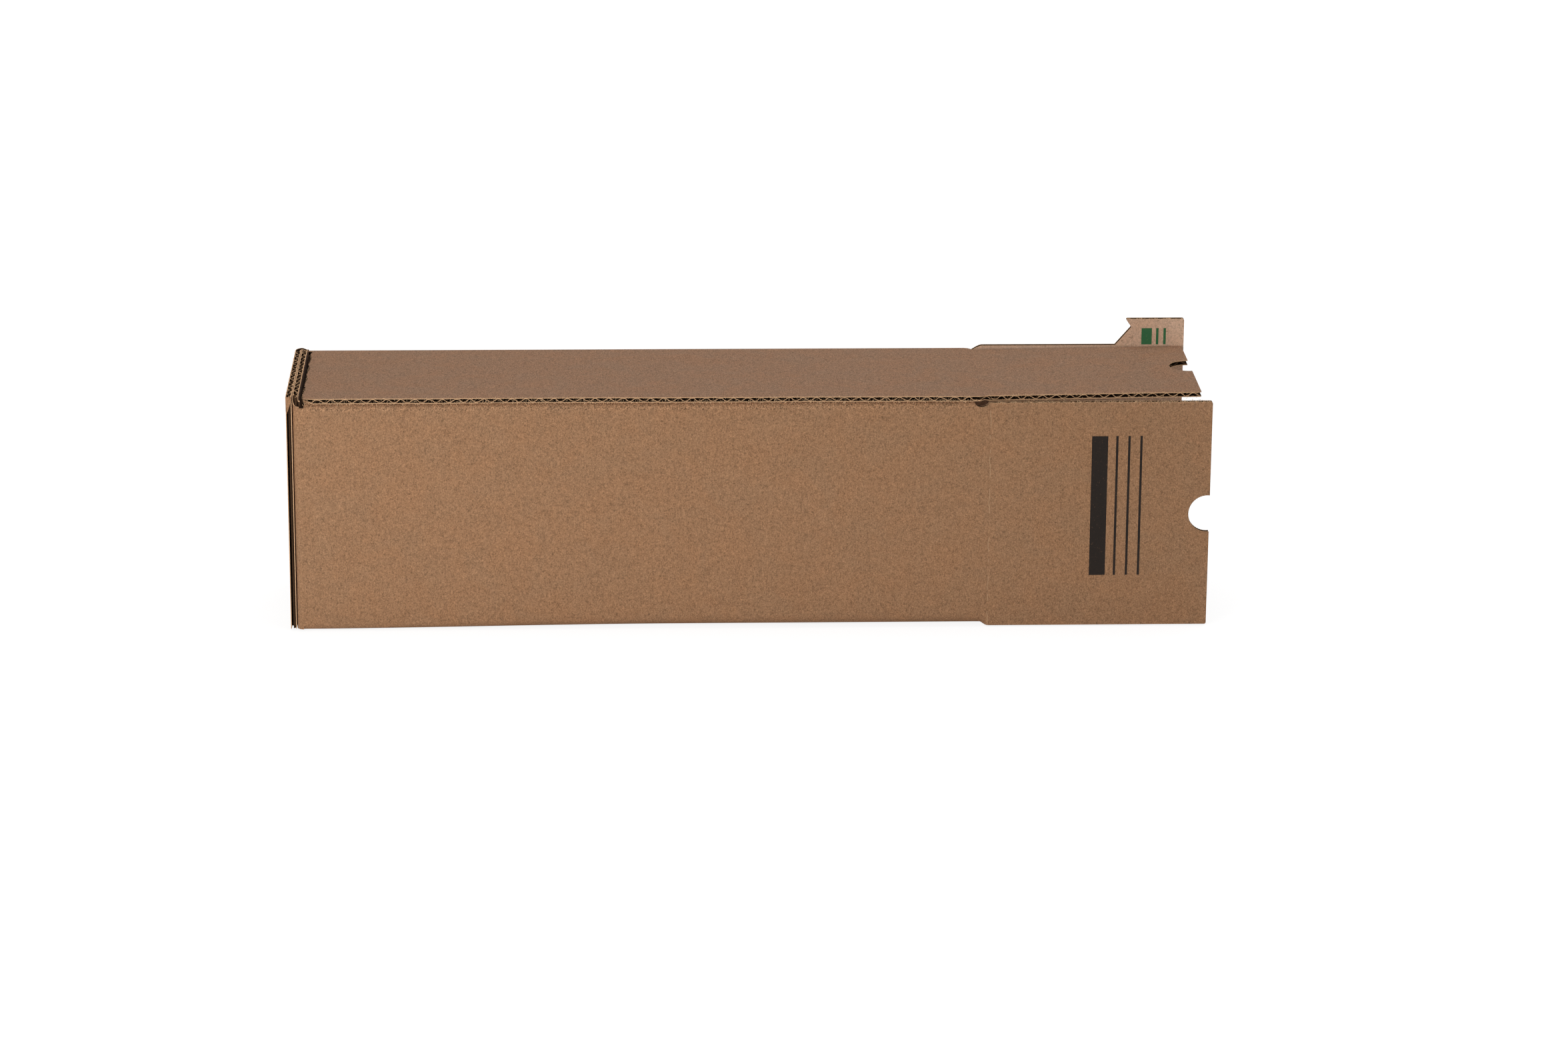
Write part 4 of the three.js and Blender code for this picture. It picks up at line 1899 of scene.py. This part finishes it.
@dataclass
class Flap:
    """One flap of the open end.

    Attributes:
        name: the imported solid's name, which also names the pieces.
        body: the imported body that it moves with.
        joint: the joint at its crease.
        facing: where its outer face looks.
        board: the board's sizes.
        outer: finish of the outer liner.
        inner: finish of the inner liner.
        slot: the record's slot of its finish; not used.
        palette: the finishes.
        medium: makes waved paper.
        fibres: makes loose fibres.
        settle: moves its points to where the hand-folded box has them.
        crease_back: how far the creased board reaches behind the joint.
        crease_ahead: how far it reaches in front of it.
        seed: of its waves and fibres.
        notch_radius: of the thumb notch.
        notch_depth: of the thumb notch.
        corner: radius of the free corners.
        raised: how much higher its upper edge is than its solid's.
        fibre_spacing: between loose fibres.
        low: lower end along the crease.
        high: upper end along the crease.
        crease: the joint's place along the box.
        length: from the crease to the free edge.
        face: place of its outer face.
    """

    OUTLINE_START = -5.0
    BLEND_HALF = 1.3
    CREASE_DENT = 0.14
    CREASE_PRESS = 0.35

    name: str
    body: str
    joint: str
    facing: Facing
    board: Board
    outer: Material
    inner: Material
    slot: str
    palette: Palette
    medium: FlutedMedium
    fibres: TornFibres
    settle: Callable[[np.ndarray], np.ndarray]
    crease_back: float = 2.2
    crease_ahead: float = 2.9
    seed: float = 1.0
    notch_radius: float = 8.8
    notch_depth: float = 9.8
    corner: float = 0.8
    raised: float = 0.0
    fibre_spacing: float = 0.8
    low: float = field(init=False)
    high: float = field(init=False)
    crease: float = field(init=False)
    length: float = field(init=False)
    face: float = field(init=False)

    def __post_init__(self) -> None:
        """Reads the flap's place from its solid and its joint."""
        low, high = cad_box_mm(self.name)
        pivot = joint_place_mm(self.joint)
        self.crease = pivot[0]
        self.length = high[0] - self.crease
        across = 1 if self.facing is Facing.TOP else 2
        self.low, self.high = low[across], high[across] + self.raised
        self.face = pivot[2] if self.facing is Facing.TOP else pivot[1]

    def place(self, u: np.ndarray, v: np.ndarray, depth: np.ndarray | float) -> np.ndarray:
        """Points of the flap in the box's frame.

        Args:
            u: distance from the crease.
            v: place along the crease.
            depth: under the outer face.

        Returns:
            The points in millimetres.
        """
        x = self.crease + u
        d = depth + 0 * u
        if self.facing is Facing.TOP:
            return np.stack([x, v, self.face - d], -1)
        inward = 1 if self.facing is Facing.FRONT else -1
        return np.stack([x, self.face + inward * d, v], -1)

    def outline(self) -> list[tuple[float, float]]:
        """The flap's cut outline, with its thumb notch.

        Returns:
            Its corners (u, v).
        """
        start = self.OUTLINE_START
        corner = self.corner
        length, low, high = self.length, self.low, self.high
        middle = self.notch_middle()
        centre = length - self.notch_depth + self.notch_radius
        reach = math.degrees(math.asin((length - centre) / self.notch_radius))
        points = [(start, low)]
        points += self._arc(length - corner, low + corner, corner, 270, 360, 6)
        lips = self._arc(centre, middle, self.notch_radius, 270 + reach, 90 - reach, 26)
        points += lips
        points += self._arc(length - corner, high - corner, corner, 0, 90, 6)
        points.append((start, high))
        return points

    def notch_middle(self) -> float:
        """Where the thumb notch is centred along the free edge."""
        return (self.low + self.high) / 2

    def _arc(
        self, u: float, v: float, radius: float, first: float, last: float, steps: int
    ) -> list[tuple[float, float]]:
        """Points of an arc, both ends included.

        Args:
            u: its centre's distance from the crease.
            v: its centre's place along the crease.
            radius: of the arc.
            first: its first angle in degrees.
            last: its last angle.
            steps: number of straight pieces.

        Returns:
            The points (u, v).
        """
        return [
            (u + radius * math.cos(math.radians(a)), v + radius * math.sin(math.radians(a)))
            for a in np.linspace(first, last, steps + 1)
        ]

    def cutter(self) -> Object:
        """The outline as a solid that runs past both faces.

        Returns:
            The solid.
        """
        points = self.outline()
        u = np.array([p[0] for p in points])
        v = np.array([p[1] for p in points])
        first = self.place(u, v, -4.0)
        last = self.place(u[:1], v[:1], self.board.thickness + 4.0)[0]
        return prism(self.name + "_outline", [tuple(p) for p in first], tuple(last - first[0]))

    def liner(self, depth: float, other: float, material: Material) -> Object:
        """One liner of the flap, cut to its outline.

        Args:
            depth: of its first side under the outer face.
            other: depth of its second side.
            material: of the side that shows.

        Returns:
            The closed sheet.
        """
        u = np.arange(self.crease_ahead, self.length + 2, 2.0)
        v = np.linspace(self.low - 2, self.high + 2, 40)
        uu, vv = np.meshgrid(u, v)
        piece = closed_sheet(self.name + "_liner", self.place(uu, vv, depth), self.place(uu, vv, other))
        trimmed(piece, self.cutter(), keep_inside=True)
        # The side that faces the waves takes the painted-shade flute side.
        slots = [material, self.palette.hollow_shade, self.palette.edge]
        paint(piece, slots, by_side(0, 1, 2) if depth == 0 else by_side(1, 0, 2))
        return piece

    def fluting(self) -> Object:
        """The flap's waved paper, cut to its outline.

        Returns:
            The closed sheet.
        """
        board = self.board
        start = self.crease_ahead + 0.3
        width = self.high - self.low
        across = np.array([(self.low + self.high) / 2])
        middle = self.place(np.array([start]), across, board.thickness / 2)[0]
        place = Matrix.Translation(Vector(middle) * MM)
        if self.facing is not Facing.TOP:
            place = place @ Matrix.Rotation(math.radians(90), 4, "X")
        piece = self.medium.make(
            self.name + "_fluting", board, self.length - start - 0.5, width - 0.1, place,
            self.palette, start=start, seed=self.seed,
        )
        return trimmed(piece, self.cutter(), keep_inside=True)

    def crease_span(self, u: np.ndarray) -> tuple[np.ndarray, np.ndarray]:
        """Both ends of the creased board at some distances from the crease."""
        return self.low + 0 * u, self.high + 0 * u

    def crease_points(self, u: np.ndarray, v: np.ndarray, depth: np.ndarray) -> np.ndarray:
        """Places of the creased board, before it settles."""
        return self.place(u, v, depth)

    def crease_strip(self) -> Object:
        """The board over the crease, between body and flap.

        Returns:
            Both liners and the waved paper between them, as one object.
        """
        thick, liner, medium = self.board.thickness, self.board.liner, self.board.medium
        u = np.linspace(-self.crease_back, self.crease_ahead, 25)
        share = np.linspace(0, 1, 64)
        low, high = self.crease_span(u)
        uu, ss = np.meshgrid(u, share)
        vv = low[None, :] + (high - low)[None, :] * ss
        uneven = 1 + 0.5 * np.sin(vv * 1.9) * np.sin(vv * 0.43 + self.seed)
        dent = self.CREASE_DENT * np.exp(-((uu / 0.6) ** 2)) * uneven
        press = self.CREASE_PRESS * np.exp(-((uu / 1.1) ** 2))
        rise = thick - 2 * liner - medium
        wave = thick / 2 + np.sin(2 * math.pi * (uu + self.seed) / self.board.pitch) * rise / 2 * (1 - press)

        def sheet(first: np.ndarray, second: np.ndarray, kind: str) -> Object:
            """One paper of the creased board.

            Args:
                first: depth of its outer side.
                second: depth of its inner side.
                kind: what it is, for its name.

            Returns:
                The closed sheet.
            """
            return closed_sheet(
                f"{self.name}_{kind}", self.crease_points(uu, vv, first), self.crease_points(uu, vv, second)
            )

        outer = sheet(dent, dent + liner, "crease_outer")
        inner = sheet(thick - liner - press, thick - press, "crease_inner")
        middle = sheet(wave - medium / 2, wave + medium / 2, "crease_fluting")
        palette = self.palette
        parts = self.cut_crease([outer, inner, middle])

        def cracked(centres: np.ndarray, normals: np.ndarray, marks: np.ndarray) -> np.ndarray:
            """Slots of the outer liner: paper, flute side in painted shade, edge and cracked line.

            Args:
                centres: the faces' centres in millimetres.
                normals: their normals.
                marks: their side marks.

            Returns:
                The slot numbers.
            """
            u = centres[:, 0] - self.crease
            v = centres[:, 1] if self.facing is Facing.TOP else centres[:, 2]
            dashes = np.sin(v * 0.31 + self.seed) + 0.8 * np.sin(v * 0.73 + 2 * self.seed) > -0.2
            line = (np.abs(u - 0.12 * np.sin(v * 0.6)) < 0.14) & dashes & (self.facing is Facing.FRONT)
            plain = np.where(line, 3, 0)
            return np.select([marks == Side.FIRST.value, marks == Side.SECOND.value], [plain, 1], 2)

        # On both liners, the sides that face the waves take the painted-shade flute side.
        paint(parts[0], [self.outer, palette.hollow_shade, palette.edge, palette.cracked], cracked)
        paint(parts[1], [palette.hollow_shade, self.inner, palette.edge], by_side(0, 1, 2))
        # The waved paper takes the dark painted-shade paper, with pale cut edges.
        paint(parts[2], [palette.medium, palette.edge], by_side(0, 0, 1))
        return joined(self.name + "_crease", parts)

    def cut_crease(self, parts: list[Object]) -> list[Object]:
        """Cuts that run into the creased board."""
        return parts

    def fibre_lines(self) -> list[tuple[float, float, float, float, float]]:
        """Lines of loose fibres: (u, v) of both ends, and the depth."""
        edge = self.high if self.facing is not Facing.TOP else self.low
        return [(self.crease_ahead, edge, self.length - 2, edge, depth) for depth in (0.2, 2.3)]

    def loose_fibres(self) -> list[Object]:
        """Loose fibres along the flap's visible raw edge.

        Returns:
            One object in a list.
        """
        lines = []
        for u0, v0, u1, v1, depth in self.fibre_lines():
            u = np.linspace(u0, u1, 40)
            v = np.linspace(v0, v1, 40)
            lines.append([tuple(point) for point in self.place(u, v, depth)])
        return [self.fibres.make(
            self.name + "_fibres", lines, self.palette.fibre, self.fibre_spacing, 1.2, 0.3,
            int(self.seed) + 20, 0.065,
        )]

    def build(self) -> list[Object]:
        """The flap's liners, waved paper and crease.

        Returns:
            The three pieces.
        """
        board = self.board
        outer = self.liner(0.0, board.liner, self.outer)
        inner = self.liner(board.thickness - board.liner, board.thickness, self.inner)
        liners = joined(self.name + "_liners", [outer, inner, *self.loose_fibres()])
        fluting = self.fluting()
        for piece in (liners, fluting):
            moved_points(piece, self.settle)
            smoothed(piece)
            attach(piece, self.body)
            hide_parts(self.name)
        strip = self.crease_strip()
        moved_points(strip, self.settle)
        smoothed(strip)
        ahead = Vector(self.place(np.array([self.BLEND_HALF]), np.array([self.low]), 0.0)[0]) * MM
        behind = Vector(self.place(np.array([-self.BLEND_HALF]), np.array([self.low]), 0.0)[0]) * MM
        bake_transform(strip)
        return [liners, fluting, strip]


@dataclass
class FrontFlap(Flap):
    """The printed flap on the front panel's crease.

    Attributes:
        fold_rise: height of the panel's rounded lower fold.
        fold_reach: how far that fold reaches under the box.
        relief: makes the cutter of the half-moon above the crease.
    """

    fold_rise: float = 5.8
    fold_reach: float = 9.3
    relief: Callable[[], Object] | None = None

    def crease_points(self, u: np.ndarray, v: np.ndarray, depth: np.ndarray) -> np.ndarray:
        """The panel's rounded lower fold flattens out towards the flap.

        Args:
            u: distance from the crease.
            v: place along the crease.
            depth: under the outer face.

        Returns:
            The points in millimetres.
        """
        flat = self.place(u, v, depth)
        turn = np.clip((self.fold_rise - v) / (self.fold_rise - self.low), 0, 1) * math.pi / 2
        rounded = flat.copy()
        inset = self.fold_reach * (1 - np.cos(turn))
        under = v < self.fold_rise
        height = self.fold_rise * (1 - np.sin(turn))
        rounded[..., 1] = np.where(under, self.face + inset + depth * np.cos(turn), flat[..., 1])
        rounded[..., 2] = np.where(under, height + depth * np.sin(turn), flat[..., 2])
        share = ease(u, -self.crease_back, 0.2)[..., None]
        return rounded * (1 - share) + flat * share

    def cut_crease(self, parts: list[Object]) -> list[Object]:
        """The half-moon relief runs into the crease."""
        return [trimmed(part, self.relief(), keep_inside=False) for part in parts]


@dataclass
class TopFlap(Flap):
    """The flap on the top panel's crease, with its notch nearer the rear.

    Attributes:
        panel_low: the panel's front edge.
        panel_high: the panel's rear edge.
    """

    NOTCH_MIDDLE = 4.3
    TAPER = (-2.6, 2.2)

    panel_low: float = 0.0
    panel_high: float = 0.0

    def notch_middle(self) -> float:
        """Where the thumb notch is centred along the free edge."""
        return self.NOTCH_MIDDLE

    def crease_span(self, u: np.ndarray) -> tuple[np.ndarray, np.ndarray]:
        """The crease runs from the panel's full width to the narrower flap.

        Args:
            u: distances from the crease.

        Returns:
            Both ends of the creased board there.
        """
        share = ease(u, *self.TAPER)
        return (
            self.panel_low + (self.low - self.panel_low) * share,
            self.panel_high + (self.high - self.panel_high) * share,
        )


@dataclass
class RearFlap(Flap):
    """The flap on the rear panel's crease, with its upright ear.

    Attributes:
        ear_foot_width: from the ear's foot to the free edge.
        ear_top_width: from the ear's upper corner to the free edge.
        shoulder_drop: how far the flap's own edge lies under the ear's.
        slit_drop: depth of the ear's small slit.
        slit_width: its width.
        fold_level: height where the panel's upper fold starts.
    """

    CLIMB = (-2.2, 5.5)

    ear_foot_width: float = 32.8
    ear_top_width: float = 27.6
    shoulder_drop: float = 12.8
    slit_drop: float = 4.0
    slit_width: float = 2.4
    fold_level: float = 0.0

    def fibre_lines(self) -> list[tuple[float, float, float, float, float]]:
        """Fibres along the ear's creased foot, on its inner face.

        Returns:
            (u, v) of both ends, and the depth, for each line.
        """
        foot, level = self.length - self.ear_foot_width, self.shoulder() - 0.2
        depth = self.board.thickness + 0.02
        return [(foot + 1, level, self.length - 1, level, depth)] * 2

    def shoulder(self) -> float:
        """Height of the flap's own upper edge, under the ear."""
        return self.high - self.shoulder_drop

    def crease_span(self, u: np.ndarray) -> tuple[np.ndarray, np.ndarray]:
        """The crease's upper end climbs from the panel's fold to the flap's edge."""
        climb = ease(u, *self.CLIMB)
        return self.low + 0 * u, self.fold_level + (self.shoulder() - self.fold_level) * climb

    def outline(self) -> list[tuple[float, float]]:
        """The flap's cut outline, with its ear.

        Returns:
            Its corners (u, v).
        """
        length, low, high = self.length, self.low, self.high
        corner = self.corner
        foot = length - self.ear_foot_width
        top = length - self.ear_top_width
        points = [(self.OUTLINE_START, low)]
        points += self._arc(length - corner, low + corner, corner, 270, 360, 6)
        points += self._arc(length - corner, high - corner, corner, 0, 90, 6)
        points += [
            (top + 0.4, high), (top, high - 0.5), (top + self.slit_width, high - self.slit_drop),
            (foot, self.shoulder()),
        ]
        climb = np.linspace(6.5, self.crease_ahead - 1, 8)
        points += [(float(u), float(self.crease_span(np.array([u]))[1][0])) for u in climb]
        points.append((self.OUTLINE_START, points[-1][1]))
        return points


# The studio


@dataclass(frozen=True)
class Lamp:
    """One soft area lamp.

    Attributes:
        name: its object's name.
        place: where it stands, in metres.
        aim: what it looks at.
        size: its side in metres.
        power: in watts.
    """

    name: str
    place: Point
    aim: Point
    size: float
    power: float


class Studio:
    """Pale floor, soft lamps and the camera at the photograph's place."""

    FOCAL_PIXELS = 6900.5
    CAMERA_MM = (-74.19, -2081.55, 650.45)
    PITCH = 16.368
    YAW = -2.516
    ROLL = 0.378
    SENSOR = 36.0
    FLOOR_HALF = 6000
    FLOOR_LEVEL = -0.4
    FLOOR_NEAR = 0.3
    FLOOR_FAR = 1.1
    FLOOR_GLOW = 0.72
    WORLD = 0.22
    LAMPS = (
        Lamp("key", (-0.55, -0.85, 0.3), (0, 0, 0.05), 0.5, 5.35),
        Lamp("fill", (1.3, -1.2, 0.7), (0, 0, 0.05), 1.2, 1.8),
        Lamp("overhead", (0.1, 0.2, 1.6), (0, 0, 0.05), 1.2, 14.2),
    )

    def build(self) -> None:
        """Makes the floor, world, lamps and camera."""
        self._floor()
        self._world()
        for lamp in self.LAMPS:
            self._lamp(lamp)
        self._camera()
        bpy.context.scene.view_settings.view_transform = "Standard"

    def _floor(self) -> None:
        """A wide pale floor that keeps the box's shadow."""
        half, level = self.FLOOR_HALF, self.FLOOR_LEVEL
        points = np.array([(x * half, y * half, level) for x, y in ((-1, -1), (1, -1), (1, 1), (-1, 1))])
        floor = mesh_object("studio_floor", points, [(0, 1, 2, 3)])
        made = bpy.data.materials.new("floor_paper")
        made.use_nodes = True
        tree = made.node_tree
        tree.nodes.clear()
        seen = self._seen(tree)
        place = add_node(tree, "ShaderNodeTexCoord").outputs["Object"]
        away = add_node(tree, "ShaderNodeVectorMath", {0: place}, operation="LENGTH").outputs["Value"]
        share = add_node(
            tree,
            "ShaderNodeMapRange",
            {0: away},
            {1: self.FLOOR_NEAR, 2: self.FLOOR_FAR, 3: self.FLOOR_GLOW, 4: 1.0},
            interpolation_type="SMOOTHSTEP",
        ).outputs[0]
        paper = add_node(
            tree, "ShaderNodeBsdfPrincipled", None, {"Base Color": (0.85, 0.85, 0.85, 1), "Roughness": 0.9}
        )
        glow = add_node(tree, "ShaderNodeEmission", None, {"Color": (1, 1, 1, 1), "Strength": 1.2})
        mix = add_node(
            tree,
            "ShaderNodeMixShader",
            {0: maths(tree, "MULTIPLY", seen, share), 1: paper.outputs[0], 2: glow.outputs[0]},
        )
        add_node(tree, "ShaderNodeOutputMaterial", {"Surface": mix.outputs[0]})
        floor.data.materials.append(made)

    def _seen(self, tree: Tree) -> Socket:
        """Tells rays that show the surroundings from rays that carry their light.

        Args:
            tree: a floor's or a world's tree.

        Returns:
            One for rays that show them, and nought for the rest.
        """
        rays = add_node(tree, "ShaderNodeLightPath").outputs
        seen = maths(tree, "MAXIMUM", rays["Is Camera Ray"], rays["Is Glossy Ray"])
        return maths(tree, "MAXIMUM", seen, rays["Is Transmission Ray"])

    def _world(self) -> None:
        """Plain white surroundings, dimmer for the light that they give."""
        world = bpy.data.worlds.new("studio_world")
        bpy.context.scene.world = world
        world.use_nodes = True
        tree = world.node_tree
        tree.nodes.clear()
        seen = self._seen(tree)
        strength = maths(tree, "ADD", maths(tree, "MULTIPLY", seen, 1 - self.WORLD), self.WORLD)
        back = add_node(tree, "ShaderNodeBackground", {"Strength": strength}, {"Color": (1, 1, 1, 1)})
        add_node(tree, "ShaderNodeOutputWorld", {"Surface": back.outputs[0]})

    def _lamp(self, lamp: Lamp) -> None:
        """One square area lamp turned to its aim.

        Args:
            lamp: what it is like.
        """
        data = bpy.data.lights.new(lamp.name, "AREA")
        data.shape = "SQUARE"
        data.size = lamp.size
        data.energy = lamp.power
        made = bpy.data.objects.new(lamp.name, data)
        bpy.context.scene.collection.objects.link(made)
        made.location = lamp.place
        made.rotation_mode = "QUATERNION"
        made.rotation_quaternion = (Vector(lamp.aim) - Vector(lamp.place)).to_track_quat("-Z", "Y")

    def _camera(self) -> None:
        """The camera, from the fit to the photograph."""
        data = bpy.data.cameras.new("photo_camera")
        data.sensor_fit = "HORIZONTAL"
        data.sensor_width = self.SENSOR
        data.lens = self.FOCAL_PIXELS / PHOTO_WIDTH * self.SENSOR
        data.clip_start = 0.05
        data.clip_end = 50.0
        made = bpy.data.objects.new("photo_camera", data)
        bpy.context.scene.collection.objects.link(made)
        pitch, yaw, roll = (math.radians(a) for a in (self.PITCH, self.YAW, self.ROLL))
        turn = (
            Matrix.Rotation(yaw, 4, "Z")
            @ Matrix.Rotation(math.pi / 2 - pitch, 4, "X")
            @ Matrix.Rotation(roll, 4, "Z")
        )
        made.matrix_world = Matrix.Translation(Vector(self.CAMERA_MM) * MM) @ turn
        bpy.context.scene.camera = made


def plain(corners: tuple[Sequence[float], Sequence[float]]) -> list[list[float]]:
    """A box's corners as plain lists."""
    return [[float(value) for value in corner] for corner in corners]


def main() -> None:
    """Builds the box piece by piece, then the studio."""
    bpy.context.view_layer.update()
    flap_low, flap_high = cad_box_mm("front_flap")
    board = Board(thickness=float(flap_high[1] - flap_low[1]))
    ink = InkBars("1E1A18", low=(157.5, 24.5), high=(183.5, 91.5), pitch=5.6, rule=1.1, bar=7.5)
    stamp = InkBars("2E6A42", low=(189.0, 114.5), high=(203.0, 122.5), pitch=3.5, rule=1.2, bar=5.0)
    palette = Palette(ink, stamp)
    medium = FlutedMedium()
    fibres = TornFibres()
    body = BoxBody(board, palette, medium, fibres)
    shared = {"palette": palette, "medium": medium, "fibres": fibres}
    settling = body.settling
    flaps = (
        FrontFlap("front_flap", "front", "front_flap_crease", Facing.FRONT, board, palette.flap,
                  palette.inner, "kraft_front", settle=settling.settle, crease_back=body.FRONT_CREASE_BACK,
                  seed=2.0, raised=body.FLAP_TOP_RISE, relief=body.relief, fibre_spacing=0.4, **shared),
        # The top flap's outer face uses the top's painted-shade copy of the liner.
        TopFlap("top_flap", "top", "top_flap_crease", Facing.TOP, body.top_board, palette.top,
                palette.inner, "kraft_top", settle=settling.settle_flap, crease_back=body.CREASE_HALF,
                seed=4.0, panel_low=body.front + body.TOP_EDGE_INSET,
                panel_high=body.rear - body.REAR_TOP_FOLD, **shared),
        # The rear flap's inner face uses the ear's painted-light copy of the inner paper.
        RearFlap("rear_flap", "rear", "rear_flap_crease", Facing.REAR, board, palette.front,
                 palette.ear, "kraft_inner", settle=settling.settle, crease_back=body.REAR_CREASE_HALF,
                 seed=6.0, raised=body.REAR_FLAP_RISE,
                 fold_level=body.top - body.REAR_TOP_FOLD, **shared),
    )
    for section in (body, *flaps):
        for piece in section.build():
            LOG.info("%s: %d faces", piece.name, len(piece.data.polygons))
    Studio().build()


if __name__ == "__main__":
    main()
